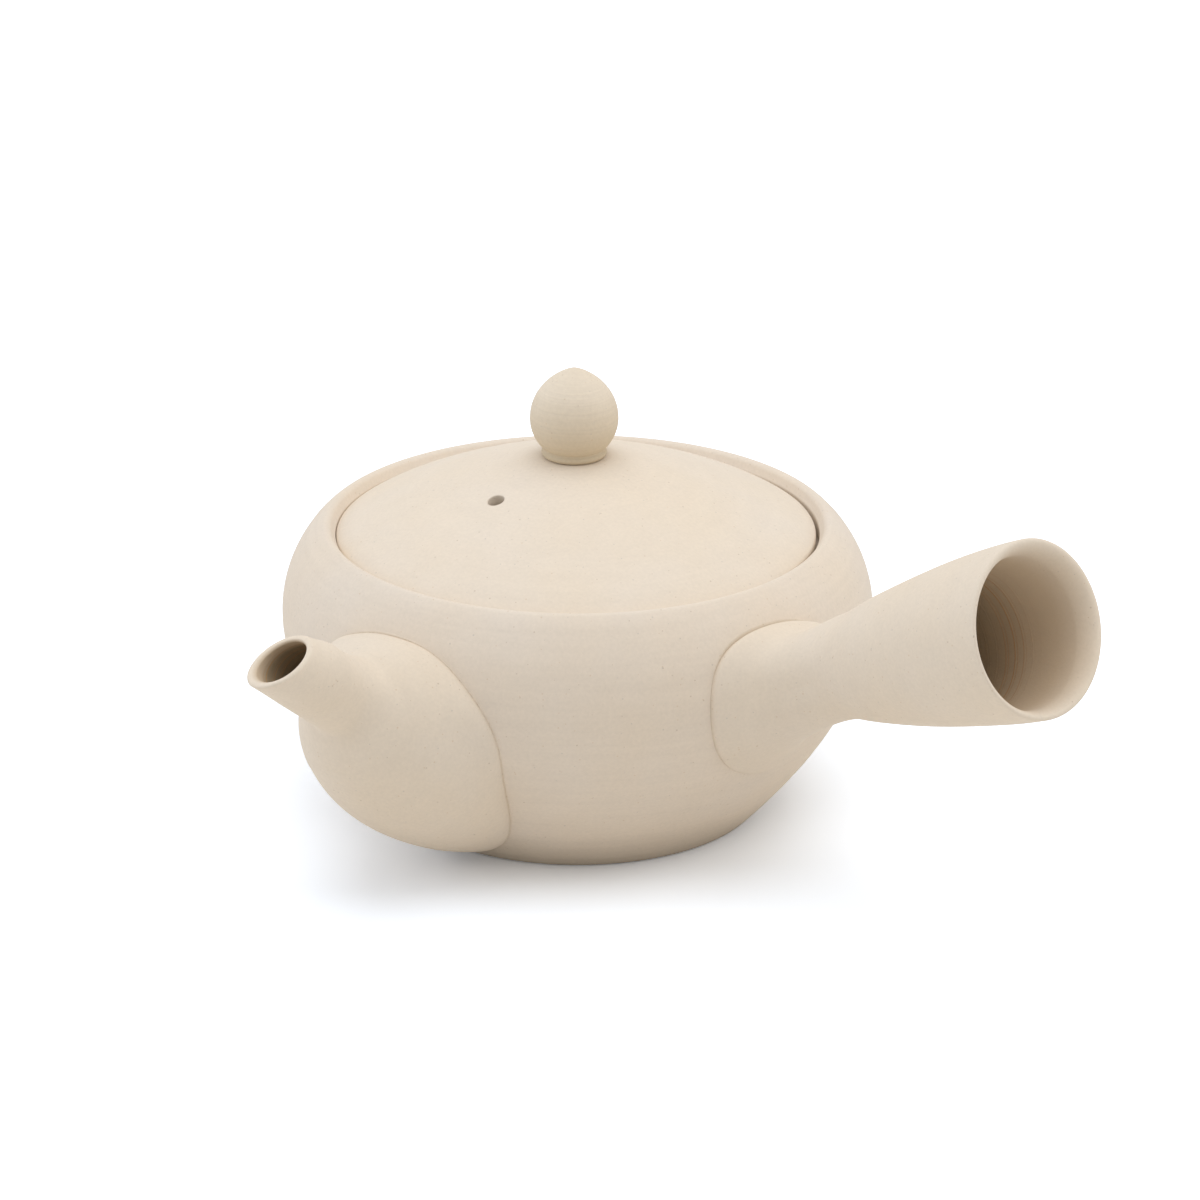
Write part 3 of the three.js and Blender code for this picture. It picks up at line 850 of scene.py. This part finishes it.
def softened(limb, rings, run, angles):
    """Rings evened out along the tube where it leaves its foot, as a wet sponge would."""
    middle, reach, size, turn, span_of_turn = limb["soft"]
    along = run.mean(axis=1)
    width = SPONGE_LEAST + size * np.exp(-(((along - middle) / reach) ** 2))
    weight = np.exp(-(((along[None, :] - along[:, None]) / width[:, None]) ** 2) / 2)
    weight /= weight.sum(axis=1, keepdims=True)
    even = np.einsum("ij,jkl->ikl", weight, rings)
    apart = (np.degrees(angles) - turn + 180) % 360 - 180
    share = 1 - smoothstep(abs(apart), span_of_turn, span_of_turn + SPONGE_FADE)
    return rings + (even - rings) * share[None, :, None]


def slipped(limb, rings, share):
    """Rings moved a little to one side of the limb's axis, each by its own share."""
    across, up, _, _ = limb_axes(limb)
    return rings + share[:, None, None] * (across * limb["slip"][0] + up * limb["slip"][1])


print("the sponge fades over", SPONGE_FADE, "degrees")

# %% [markdown]
# ## A hollow limb
# The tube is one closed skin: the skirt, the outer wall, the lip, and the inner wall back to the pot.
# The mesh is written ring by ring, because every ring has the same number of points and the faces
# between them follow. The marks for the clay are stored with it: the length along the outline, the
# depth inside, which runs from 0 to 1 between two distances from the lip's edge, and the seam.

# %% Close a tube
LIMB_SHARP = 50
SKIN_GAP = 0.07  # the outer wall ends this far above the pot's wall, and the skirt does the rest
SLIP_FADE = (4, 18)  # how far in from the mouth the bore starts and ends its way to the middle


def tube(name, limb, lines, material, counts, facets):
    """A hollow limb that ends on the pot's wall: outer wall, lip and inner wall in closed rings."""
    outer, lip, inner = lines
    angles = np.linspace(0, 2 * np.pi, facets, endpoint=False)
    skin, skin_run = from_wall(limb, outer, angles, counts[0], -SKIN_GAP)
    skin = rimmed(limb, softened(limb, skin, skin_run, angles), skin_run, angles)
    foot = skirt(limb, skin[0], angles)
    edge = slipped(limb, limb_rings(limb, lip, angles), np.linspace(0, 1, len(lip)))
    bore, bore_run = from_wall(limb, inner, angles, counts[1], limb["sink"])
    deep_in = bore_run[-1].mean() - bore_run.mean(axis=1)
    bore = slipped(limb, bore, 1 - smoothstep(deep_in, *SLIP_FADE))
    rings = np.concatenate([foot, skin, edge, bore[::-1]])
    edge_run = skin_run[-1][None, :] + lengths(lip)[:, None]
    foot_run = skin_run[0] + np.zeros((len(foot), 1))
    runs = np.concatenate([foot_run, skin_run, edge_run, bore_run[::-1]])
    bore_in = lengths(lip)[-1] + bore_run[-1] - bore_run[::-1]
    way_in = np.concatenate([edge_run - skin_run[-1], bore_in])
    # where the painted shade inside the bore starts and where it is full, in mm in from the lip
    first, last = limb["deep"]
    depth = np.clip((way_in - first) / (last - first), 0, 1)
    seam = (1 - smoothstep(skin_run - skin_run[0], SEAM_CORE, SEAM_WIDTH)) * seam_depth(limb, angles)
    foot_seam = np.array([dark for _, _, dark in SKIRT])[:, None] * seam_depth(limb, angles)
    marks = {
        "run": runs * MM,
        "inner": np.concatenate([0 * foot_run, 0 * skin_run, depth]),
        "seam": np.concatenate([foot_seam, seam, 0 * edge_run, 0 * bore_run]),
    }
    return ring_mesh(name, rings, marks, material)


def bands(count, facets):
    """The faces between each ring of points and the next. The last row leads back to the first ring."""
    here = np.arange(count * facets).reshape(count, facets)
    on = np.roll(here, -1, axis=0)
    return np.stack([here, np.roll(here, -1, axis=1), np.roll(on, -1, axis=1), on], axis=-1)


def ring_mesh(name, rings, marks, material):
    """A closed mesh of rings, with its marks for the clay and the turn round it stored."""
    count, facets = rings.shape[:2]
    faces = bands(count, facets).reshape(-1, 4)
    piece = new_piece(name, rings.reshape(-1, 3) * MM, faces.tolist())
    mesh = piece.data
    for mark, values in marks.items():
        mesh.attributes.new(mark, "FLOAT", "POINT").data.foreach_set("value", values.ravel())
    column = np.tile(np.arange(facets), count)
    turns = np.stack([column, column + 1, column + 1, column], axis=-1) / facets
    row = np.repeat(np.arange(count), facets)
    steps = np.stack([row, row, row + 1, row + 1], axis=-1) / count
    wheel = mesh.uv_layers.new(name="wheel")
    wheel.data.foreach_set("uv", np.stack([turns, steps], axis=-1).ravel())
    mesh.materials.append(material)
    return smooth(facing_out(piece), LIMB_SHARP)


print("the bore moves to the tube's middle between", SLIP_FADE, "mm in from the mouth")

# %% [markdown]
# ## Lip and bore
# The lip is turned over by a finger: it has a tight round edge outside and a wide soft flare inside,
# which leads into the bore. The bore follows the outer wall, which grows thinner towards the mouth.

# %% The lines inside a tube
LIP_FLAT, LIP_TURN = 0.5, (0.1, 0.45)  # how the flare leaves the lip and how it meets the bore


def lip_line(limb, skin):
    """The lip, from the outer wall over a tight round edge and down a wide soft flare into the bore."""
    r, (thick, depth) = limb["lip"], limb["flare"]
    start = (limb["mouth_radius"] - r, limb["mouth"])
    bore = bore_line(limb, skin)[-1]
    guide = (start[0] - LIP_FLAT * (thick - r), start[1])
    other = (bore[0] + LIP_TURN[0], bore[1] + LIP_TURN[1] * depth)
    over = arc((start[0], start[1] - r), r, 0, 90, 8)[1:]
    return np.vstack([over, curve(start, guide, other, bore, 16)[1:-1]])


def bore_line(limb, skin):
    """The inner wall beside the outer one, a little thinner towards the lip, as far as the lip's flare."""
    thick, depth = limb["flare"]
    thin = smoothstep(skin[:, 1], limb["lean"][1], limb["mouth"])
    line = beside(skin, -(limb["wall"] + (thick - limb["wall"]) * thin))
    return line[line[:, 1] < limb["mouth"] - depth]


print("limb lines ready")

# %% [markdown]
# ## The handle
# The handle is a hollow tube that widens to an open mouth, so that it stays cool. Its foot is a low
# mound which is pressed on the wall and takes the wall's curve. It is thrown too, so its inside keeps
# the ridges of the potter's fingertip, and they are real ridges here. Its sizes are in mm and degrees.

# %% Measure the handle
HANDLE = {
    "turn": 0, "rise": 23.2, "start": 16.8, "sidestep": -3.2,
    "foot": (-3.6, -1.6, 0.89), "follows": True, "lean": (67, 80),
    "mouth": 128.86, "mouth_radius": 17.46, "lip": 0.6, "flare": (2.6, 4), "slip": (-0.65, -0.1),
    "wall": 2.6, "slant": (2.9, 3.3), "slant_length": 20, "sink": 0.2,
    "presses": (  # turn, width, height over the wall, reach, share
        (140, 28, 0, 8, 0.085), (-138, 48, 0, 8, -0.052), (-75, 25, 0, 8, 0.07),
        (82, 36, 0, 7, -0.085), (90, 45, 19.5, 4, -0.03), (-90, 50, 30, 16, 0.027),
        (115, 45, 9.6, 4, 0.11), (-115, 40, 5.5, 3.5, 0.12), (-100, 45, 14, 4, -0.04),
        (-90, 60, 60, 25, -0.032), (35, 14, 0, 5, 0.09),
    ),
    "rim": (0.3, 0.22, 9), "seam": (95, 0.12, 0.9), "soft": (18, 9, 3.6, 0, 150), "deep": (0.8, 28),
}
FOOT_EDGE, FOOT_SINK, BRIM, BRIM_HEIGHT, BRIM_ANGLE = 16.1, 3.0, 14.6, 2.35, 46
NECK, NECK_STATION, NECK_ANGLE = 9.75, 77.0, 81
BRIM_REACH, NECK_REACH, FLARE_REACH = 5, 6, 17.5
print("the handle's mouth is", 2 * HANDLE["mouth_radius"], "mm across")

# %% [markdown]
# ## The handle's lines
# The outer line climbs from the foot's rounded edge over the low mound to the narrow neck, and widens
# to the mouth. The bore runs beside it, and the ridges in it fade out before they reach the lip.

# %% Make the handle
EDGE_IN, EDGE_UP, EDGE_ROUND = 0.1, 1.1, 0.55
RIDGE_DEPTH, RIDGE_PITCH, RIDGE_FADE = 0.06, 2.4, (10, 16)
LIMB_FACETS, HANDLE_RINGS = 240, (190, 110)


def handle_lines():
    wall = float(wall_station(HANDLE, 0, 0))
    edge, brim = (FOOT_EDGE, wall), (BRIM, wall + BRIM_HEIGHT)
    neck = (NECK, NECK_STATION)
    mouth = (HANDLE["mouth_radius"], HANDLE["mouth"] - HANDLE["lip"])
    rounding = corner(edge, (FOOT_EDGE - EDGE_IN, wall + EDGE_UP), brim, EDGE_ROUND)
    below, above = ahead(neck, NECK_ANGLE + 180, NECK_REACH), ahead(neck, NECK_ANGLE, NECK_REACH)
    root = curve(brim, ahead(brim, 180 - BRIM_ANGLE, BRIM_REACH), below, neck, 40)
    grip = curve(neck, above, ahead(mouth, -90, FLARE_REACH), mouth, 60)
    skin = np.vstack([root, grip[1:]])
    lip = lip_line(HANDLE, skin)
    bore = bore_line(HANDLE, skin)
    bore = np.vstack([(bore[0][0], wall - FOOT_SINK), bore])
    ridges = RIDGE_DEPTH * np.sin(2 * np.pi * bore[:, 1] / RIDGE_PITCH)
    bore[:, 0] += ridges * smoothstep(HANDLE["mouth"] - bore[:, 1], *RIDGE_FADE)
    return joined((FOOT_EDGE, wall - FOOT_SINK), rounding, skin, spacing=0.5), lip, bore


handle = tube("Side_Handle", HANDLE, handle_lines(), limb_clay, HANDLE_RINGS, LIMB_FACETS)
report(handle)

# %% [markdown]
# ## The spout
# The spout is a wide bell that gathers the tea behind a short tube. The bell stands on the wall, its
# edge rounded off towards the seam, and the tube leaves it with a crisp fold. The mouth is cut on the
# slant and has a soft, thick lip that lets the last drop go.

# %% Measure the spout
SPOUT = {
    "turn": -88.7, "rise": 35.3, "start": -7, "sidestep": 2.1,
    "foot": (0.8, 1.7, 1.0), "follows": False, "lean": (49, 91),
    "mouth": 110.77, "mouth_radius": 6.8, "lip": 0.8, "flare": (1.65, 0.8), "slip": (0.15, 0.15),
    "wall": 2.3, "slant": (13.2, -30.4), "slant_length": 14, "sink": 0.2,
    "presses": (  # turn, width, height over the wall, reach, share
        (8, 14, 0, 8, 0.025), (18, 24, 0, 8, 0.055), (90, 30, 0, 8, -0.08), (148, 18, 0, 8, 0.10),
        (-25, 22, 0, 8, -0.05), (60, 45, 25, 6, 0.12), (-70, 50, 47, 5, -0.05),
    ),
    "rim": (0.4, 0.2, 9), "seam": (122, 0.25, 0.55), "soft": (69, 8, 5, 22, 76), "deep": (1.4, 4.8),
}
print("the spout's mouth is", 2 * SPOUT["mouth_radius"], "mm across")

# %% [markdown]
# ## The spout's lines
# One curve swells from inside the pot to the bell's widest ring, a second draws it in to the throat,
# and a tight corner makes the fold where the short tube begins.

# %% Make the spout
BELL_FOOT, BELL, THROAT = (8.9, 27), (21.4, 59.1), (7.6, 88.8)
BELL_START, THROAT_END = (37, 9.5), (-28.5, 9.6)  # the bell's direction at both ends, and its reach
BELOW_BELL, ABOVE_BELL = 13.8, 13.4
FOLD, FOLD_CLEAR = 1.2, 1.3
SPOUT_RINGS = (190, 100)


def spout_lines():
    mouth = (SPOUT["mouth_radius"], SPOUT["mouth"] - SPOUT["lip"])
    low = curve(BELL_FOOT, ahead(BELL_FOOT, *BELL_START), ahead(BELL, -90, BELOW_BELL), BELL, 50)
    high = curve(BELL, ahead(BELL, 90, ABOVE_BELL), ahead(THROAT, *THROAT_END), THROAT, 60)
    fold = corner(high[-8], THROAT, mouth, FOLD, 8)
    high = high[np.linalg.norm(high - THROAT, axis=1) > FOLD_CLEAR]
    skin = joined(low, high, fold, mouth, spacing=0.5)
    return skin, lip_line(SPOUT, skin), bore_line(SPOUT, skin)


spout = tube("Spout", SPOUT, spout_lines(), limb_clay, SPOUT_RINGS, LIMB_FACETS)
report(spout)

# %% [markdown]
# ## The strainer
# Behind the spout a small dome of clay keeps the leaves back. It is pressed over a round form and
# stuck over the pouring hole. A ready-made sphere would stick out of the wall, so the dome is written
# as a shell of rings whose edge lies on the pot's inner wall, sunk in it a little.

# %% Make the dome
DOME, DOME_WALL, DOME_DEPTH, DOME_SINK = 17.0, 1.8, 0.9, 0.25
DOME_FACETS, DOME_RINGS = 96, 22
DOME_TILTS = (0.5, 110, 400)  # from the top to past the wall in degrees, and how many are tried
dome_station = float(wall_station(SPOUT, 0, 0)) - DOME_DEPTH


def dome_shell():
    """The dome's outer and inner faces, whose rims lie on the pot's inner wall, about the dome's middle."""
    angles = np.linspace(0, 2 * np.pi, DOME_FACETS, endpoint=False)
    order = np.argsort(inside[:, 1])
    rings = []
    for radius in (DOME, DOME - DOME_WALL):
        tilt = np.radians(np.linspace(*DOME_TILTS))[:, None]
        x, y = radius * np.sin(tilt) * np.cos(angles), radius * np.sin(tilt) * np.sin(angles)
        z = -radius * np.cos(tilt) + 0 * angles
        at = placed(SPOUT, x, y, z + dome_station)
        wall = np.interp(at[..., 2], inside[order, 1], inside[order, 0]) + DOME_SINK
        outside_wall = np.hypot(at[..., 0], at[..., 1]) > wall
        first = np.argmax(outside_wall, axis=0)
        steps = first * np.linspace(0, 1, DOME_RINGS)[:, None]
        low = steps.astype(int)
        column = np.arange(DOME_FACETS)
        rings.append(np.stack([x[low, column], y[low, column], z[low, column]], axis=-1))
    return rings


def shell_piece(name):
    """The dome's shell with a small cap on the top of each face."""
    outer, inner = dome_shell()
    rings = np.concatenate([outer, inner[::-1]])
    rows = bands(len(rings), DOME_FACETS)
    caps = [rows[0, :, 0].tolist()[::-1], rows[-1, :, 0].tolist()]
    piece = new_piece(name, rings.reshape(-1, 3) * MM, rows[:-1].reshape(-1, 4).tolist() + caps)
    return facing_out(piece)


dome = shell_piece("Strainer")
report(dome)

# %% [markdown]
# ## Its holes
# The dome is pierced all over with a pin-like tool while it is soft. The holes repeat over a surface,
# so Geometry Nodes place them: a sunflower's rule spreads any number of points evenly over the dome, a
# drill stands on each, and all the drills are cut away at once. The result has a fault that isn't mended
# yet: beside the holes a wedge of the dome is missing.

# %% Pierce the dome
HOLE, HOLE_COUNT, HOLE_REACH = 0.75, 132, 60
HOLE_SIZES = {"Holes": "NodeSocketInt", "Dome": FLOAT, "Hole": FLOAT, "Reach": FLOAT}
DRILL_SIDES, DRILL_LENGTH = 12, 0.45  # the length as a share of the dome's radius
GOLDEN = math.pi * (3 - math.sqrt(5))


def hole_tree():
    """The tree that pierces a dome with drills set as a sunflower sets its seeds."""
    graph = GeometryGraph("Pierced all over", HOLE_SIZES)
    index = graph.node("GeometryNodeInputIndex")
    reach = graph.of("COSINE", graph.inputs["Reach"])
    level = 1 - (index + 0.5) / graph.inputs["Holes"] * (1 - reach)
    side = graph.of("SQRT", 1 - level * level)
    turn = index * GOLDEN
    away = graph.vector(side * graph.of("COSINE", turn), side * graph.of("SINE", turn), level * -1)
    dome = graph.inputs["Dome"]
    place = graph.node("ShaderNodeVectorMath", {"operation": "SCALE"}, {0: away, "Scale": dome})
    points = graph.node("GeometryNodePoints", None, {"Count": graph.inputs["Holes"], "Position": place})
    inputs = {"Vertices": DRILL_SIDES, "Radius": graph.inputs["Hole"], "Depth": dome * DRILL_LENGTH}
    drill = graph.node("GeometryNodeMeshCylinder", None, inputs)
    spin = graph.node("FunctionNodeAlignRotationToVector", {"axis": "Z"}, {"Vector": away})
    inputs = {"Points": points, "Instance": drill, "Rotation": spin}
    drills = graph.node("GeometryNodeInstanceOnPoints", None, inputs)
    drills = graph.node("GeometryNodeRealizeInstances", None, {"Geometry": drills})
    inputs = {0: graph.inputs["Geometry"], 1: drills}
    return graph.finish(graph.node("GeometryNodeMeshBoolean", {"operation": "DIFFERENCE"}, inputs))


sizes = {"Holes": HOLE_COUNT, "Dome": DOME * MM, "Hole": HOLE * MM}
sizes |= {"Reach": math.radians(HOLE_REACH), "Clay": body_clay}
strainer = with_tree(dome, hole_tree(), sizes)
report(strainer)

# %% [markdown]
# ## The dome's place
# The dome was made about its own middle. It is carried to the spout's axis with a matrix, which is
# applied to its mesh, so that the object stays at the origin.

# %% Set the strainer in its place
DOME_SHARP = 35
middle = placed(SPOUT, np.zeros(1), np.zeros(1), np.full(1, dome_station))[0] * MM
turn = Matrix(limb_axes(SPOUT)[:3]).transposed().to_4x4()
dome_place = Matrix.Translation(middle) @ turn
strainer.data.transform(dome_place)
smooth(strainer, DOME_SHARP)
print("the dome's middle is at", [round(float(v) / MM, 1) for v in middle])

# %% [markdown]
# ## The pouring hole
# The tea leaves the pot through a round hole in the wall under the dome. It is cut with a Boolean,
# because only the wall knows where the hole ends. The vent in the lid is cut in the same way later,
# with a cutter that flares out at the surface, as a wet sponge rounds the edge of a pierced hole.

# %% Cut the pouring hole
POUR_HOLE = 12.0
CUTTER_FACETS = 48
UNFILLED = 50  # a spacing so wide that no points are added


def carved(piece, cutter):
    """The piece with the cutter's shape taken out of it."""
    cut = piece.modifiers.new("Cut", "BOOLEAN")
    cut.operation = "DIFFERENCE"
    cut.solver = "EXACT"
    cut.object = cutter
    as_mesh(piece)
    bpy.data.objects.remove(cutter)
    return smooth(piece)


def cutter(name, line, place):
    """A closed turned cutter, set in its place."""
    piece = turned(name, line, body_clay, CUTTER_FACETS, 0.0, 1.0)
    piece.data.transform(place)
    return piece


half = (DOME + 3) / 2
bar = joined((0, -half), (POUR_HOLE, -half), (POUR_HOLE, half), (0, half), spacing=UNFILLED)
pot = carved(pot, cutter("Pouring cutter", bar, dome_place))
report(pot)

# %% [markdown]
# ## The lid
# The lid is a shallow dome that drops into the mouth and rests on the ledge, with a flange below it
# that keeps it from sliding off as the pot is tipped. It is one outline too, so the wheel turns it like
# the pot. A lid with some play never sits quite in the middle, so it lies a little to one side.

# %% Turn the lid
SEAT = LEDGE + 0.3  # with the gap that stands in for the lid's contact with the ledge
LID_EDGE, LID_EDGE_HEIGHT, LID_CROWN = MOUTH - 0.95, 3.5, (6.9, 19.55)
LID_WALL, FLANGE_DEPTH, FLANGE_WALL = 3.0, 5.0, 2.6
LID_RISE, CROWN_GUIDE = (180 - 38.7, 10), (-11, 7)  # the top's direction at both ends, and its reach
LID_LINE_DEPTH, LID_LINE_SPACING = 0.06, 2.6
LID_SLIP = (-0.22, -0.2)
flange = ledge - 0.8


def lid_top():
    edge = (LID_EDGE, LID_EDGE_HEIGHT)
    return curve(edge, ahead(edge, *LID_RISE), ahead(LID_CROWN, *CROWN_GUIDE), LID_CROWN, 60)


top = lid_top()
under = beside(top, -LID_WALL)
under = under[under[:, 0] < flange - FLANGE_WALL - LID_WALL][::-1]
inner_flange = flange - FLANGE_WALL
lid_line = joined(
    (0, LID_CROWN[1] - LID_WALL),
    under,
    corner(under[-1], (inner_flange, 0), (inner_flange, -FLANGE_DEPTH), 1.5),
    corner((inner_flange, 0), (inner_flange, -FLANGE_DEPTH), (flange, -FLANGE_DEPTH), 0.8),
    corner((inner_flange, -FLANGE_DEPTH), (flange, -FLANGE_DEPTH), (flange, 0), 0.8),
    corner((flange, -FLANGE_DEPTH), (flange, 0), (LID_EDGE, 0), 0.4),
    corner((flange, 0), (LID_EDGE, 0), (LID_EDGE, LID_EDGE_HEIGHT), 0.5),
    corner((LID_EDGE, 0), (LID_EDGE, LID_EDGE_HEIGHT), top[2], 0.5),
    top[2:],
    (0, LID_CROWN[1]),
    spacing=1.0,
)
NOT_QUIET = -20  # below the flange, so that the finger lines are everywhere
depth, spacing = LID_LINE_DEPTH, LID_LINE_SPACING
lid = turned("Lid", lid_line, lid_clay, POT_FACETS, depth, spacing, height=SEAT, quiet=NOT_QUIET)
lid.data.transform(Matrix.Translation((LID_SLIP[0] * MM, LID_SLIP[1] * MM, 0)))
report(lid)

# %% [markdown]
# ## The vent
# A small hole on the side of the spout lets air in as the tea runs out, and a finger on it stops the
# stream. It is pierced square to the dome, so the cutter is tipped by the slope of the top line there.

# %% Pierce the vent
VENT, VENT_DISTANCE, VENT_TURN, VENT_ROUNDING = 1.7, 21.5, -96.8, 0.3
VENT_DEPTH, VENT_FLARE, VENT_OUT = 8, 1.2, 0.4
k = int(np.argmin(abs(top[:, 0] - VENT_DISTANCE)))
slope = math.atan2(top[k + 1][1] - top[k - 1][1], top[k - 1][0] - top[k + 1][0])
side = math.radians(VENT_TURN)
vent_line = joined(
    (0, -VENT_DEPTH), (VENT, -VENT_DEPTH), (VENT, -VENT_ROUNDING),
    arc((VENT + VENT_ROUNDING, -VENT_ROUNDING), VENT_ROUNDING, 180, 100, 6),
    (VENT + VENT_FLARE, VENT_OUT), (0, VENT_OUT), spacing=UNFILLED,
)
vent_x, vent_y = VENT_DISTANCE * math.cos(side) * MM, VENT_DISTANCE * math.sin(side) * MM
vent_place = (
    Matrix.Translation((vent_x, vent_y, (top[k][1] + SEAT) * MM))
    @ Matrix.Rotation(side, 4, "Z")
    @ Matrix.Rotation(slope, 4, "Y")
)
lid = carved(lid, cutter("Vent cutter", vent_line, vent_place))
report(lid)

# %% [markdown]
# ## The knob
# The knob is a ball with a small drawn-out tip, thrown on top of the lid. Its lower half shows the
# clearest finger lines on the pot, because it was shaped quickly between two fingertips, and its foot
# ring is rounded where it meets the lid. The foot is sunk a little in the lid, so no gap shows.

# %% Turn the knob
KNOB, KNOB_MIDDLE, KNOB_HEIGHT, TIP = 8.8, 7.85, 18.15, 0.29
KNOB_FACETS, KNOB_LINE_DEPTH, KNOB_LINE_SPACING = 128, 0.07, 0.55
KNOB_SLIP = (-0.5, -0.44)  # to one side, as the lid
KNOB_SEAT = SEAT + LID_CROWN[1]
foot, ring, waist = (5.1, -0.1), (6.5, 0.95), (6.2, 1.85)
widest, tip = (KNOB, KNOB_MIDDLE), (0, KNOB_HEIGHT + TIP)
knob_line = joined(
    (0, -0.1), foot,
    curve(foot, (6.0, -0.05), (6.5, 0.35), ring, 8),
    curve(ring, (6.47, 1.35), (6.2, 1.5), waist, 6),
    curve(waist, ahead(waist, 40, 0.9), ahead(widest, -90, 3.2), widest, 26),
    curve(widest, ahead(widest, 90, 5.9), ahead(tip, -16, 4.2), tip, 44),
    spacing=0.6,
)
depth, spacing = KNOB_LINE_DEPTH, KNOB_LINE_SPACING
knob = turned("Knob", knob_line, knob_clay, KNOB_FACETS, depth, spacing, height=KNOB_SEAT, quiet=0.5)
knob.data.transform(Matrix.Translation((KNOB_SLIP[0] * MM, KNOB_SLIP[1] * MM, 0)))
report(knob)

# %% [markdown]
# ## The floor
# The photograph is taken on a white sweep of paper, lit until it is pure white away from the pot, with
# the soft shadow left near it. A shadow catcher would need a white picture behind it. Here the camera sees
# the floor in a colour above white, so that only a real shadow brings it below white, and a little
# cool, against the warm light that the clay throws on it. For the bounce of light on the pot the floor
# keeps a colour that real paper could have.

# %% Lay the floor
FLOOR_BOUNCE = (0.87, 0.845, 0.805, 1)
FLOOR_SEEN = (1.262, 1.335, 1.435, 1)
FLOOR_HALF = 4.0  # in metres


def paper_sweep():
    material = bpy.data.materials.new("Paper sweep")
    material.use_nodes = True
    material.node_tree.nodes.clear()
    graph = Graph(material.node_tree)
    path = graph.node("ShaderNodeLightPath").socket.node
    seen = Value(graph, path.outputs["Is Camera Ray"]) + Value(graph, path.outputs["Is Glossy Ray"])
    seen = seen + Value(graph, path.outputs["Is Transmission Ray"])
    colour = graph.mix(seen, FLOOR_BOUNCE, FLOOR_SEEN)
    paper = graph.node("ShaderNodeBsdfDiffuse", None, {"Color": colour})
    graph.end("ShaderNodeOutputMaterial", paper)
    return material


far = FLOOR_HALF
floor = new_piece("Floor", [(-far, -far, 0), (far, -far, 0), (far, far, 0), (-far, far, 0)], [(0, 1, 2, 3)])
floor.data.materials.append(paper_sweep())
print("the floor is", 2 * FLOOR_HALF, "m wide")

# %% [markdown]
# ## The lamps
# A large soft lamp hangs overhead and pale walls stand at both sides, so tops are brightest and
# undersides fall off gently. How bright a square lamp looks depends on its size and distance, so each
# is asked for by the light that it adds to a face turned to it, and its power is worked out from that.

# %% Light the pot
def lamp(name, place, size, share, colour=(1, 1, 1)):
    """A soft square lamp that points at the pot and adds its share of light to a face turned to it."""
    data = bpy.data.lights.new(name, "AREA")
    data.size = size
    data.color = colour
    near = size / (2 * Vector(place).length)
    root = math.sqrt(1 + near * near)
    seen = 4 / math.pi * near / root * math.atan(near / root)
    data.energy = share * math.pi / seen * size * size
    lit = bpy.data.objects.new(name, data)
    lit.location = place
    lit.rotation_euler = (-Vector(place)).to_track_quat("-Z", "Y").to_euler()
    bpy.context.scene.collection.objects.link(lit)


lamp("Overhead lamp", (0.05, 0.05, 1.3), 1.4, 0.38)
lamp("Left wall", (-1.35, -1.0, 0.6), 1.2, 0.155, (0.87, 0.98, 1.15))
lamp("Right wall", (1.1, 1.2, 0.7), 1.2, 0.115)

# %% [markdown]
# ## The room
# The rest of the white room is even light from all round. To the camera it is pure white, and to the
# pot it is dimmer, so that the lamps can shape it.

# %% White room
SKY = 0.565
world = bpy.data.worlds.new("White room")
bpy.context.scene.world = world
world.use_nodes = True
world.node_tree.nodes.clear()
room = Graph(world.node_tree)
seen = Value(room, room.node("ShaderNodeLightPath").socket.node.outputs["Is Camera Ray"])
inputs = {"Color": (1, 1, 1, 1), "Strength": seen * (1 - SKY) + SKY}
room.end("ShaderNodeOutputWorld", room.node("ShaderNodeBackground", None, inputs))
print("the room's light on the pot:", SKY)

# %% [markdown]
# ## The camera
# A long lens from well away, a little above the table: the handle points to the right and comes
# towards the camera, and the spout points to the left. A small shift frames the pot as in the photo.

# %% Set the camera
DISTANCE, ELEVATION, AZIMUTH = 1.4, math.radians(21.85), math.radians(41.5)
AIM_HEIGHT, FOCAL, SENSOR = 0.030, 209.58, 36.0
SHIFT_X, SHIFT_Y = 0.0187, 0.0465
target = Vector((0, 0, AIM_HEIGHT))
direction = Vector((
    math.cos(ELEVATION) * math.sin(AZIMUTH),
    -math.cos(ELEVATION) * math.cos(AZIMUTH),
    math.sin(ELEVATION),
))
lens = bpy.data.cameras.new("Camera")
lens.lens = FOCAL
lens.sensor_width = SENSOR
lens.shift_x = SHIFT_X
lens.shift_y = SHIFT_Y
camera = bpy.data.objects.new("Camera", lens)
camera.location = target + direction * DISTANCE
camera.rotation_euler = (-direction).to_track_quat("-Z", "Y").to_euler()
bpy.context.scene.collection.objects.link(camera)
bpy.context.scene.camera = camera
bpy.context.scene.view_settings.view_transform = "Standard"
print("camera at", [round(v, 3) for v in camera.location])

# %% [markdown]
# ## What moves
# Only the lid comes off. The lid and its knob ride on one body, and everything else is one piece with
# the pot. Each part stands for the CAD part that it replaces.

# %% Tie the parts to the frame
for piece, node, body, slot in (
    (pot, "pot_body", "pot", "body_clay"),
    (handle, "side_handle", "pot", "body_clay"),
    (spout, "spout", "pot", "body_clay"),
    (strainer, "strainer", "pot", "body_clay"),
    (lid, "lid", "lid", "lid_clay"),
    (knob, "lid_knob", "lid", "lid_clay"),
):
    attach(piece, body)
    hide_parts(node)
    print(piece.name, "moves with", body)
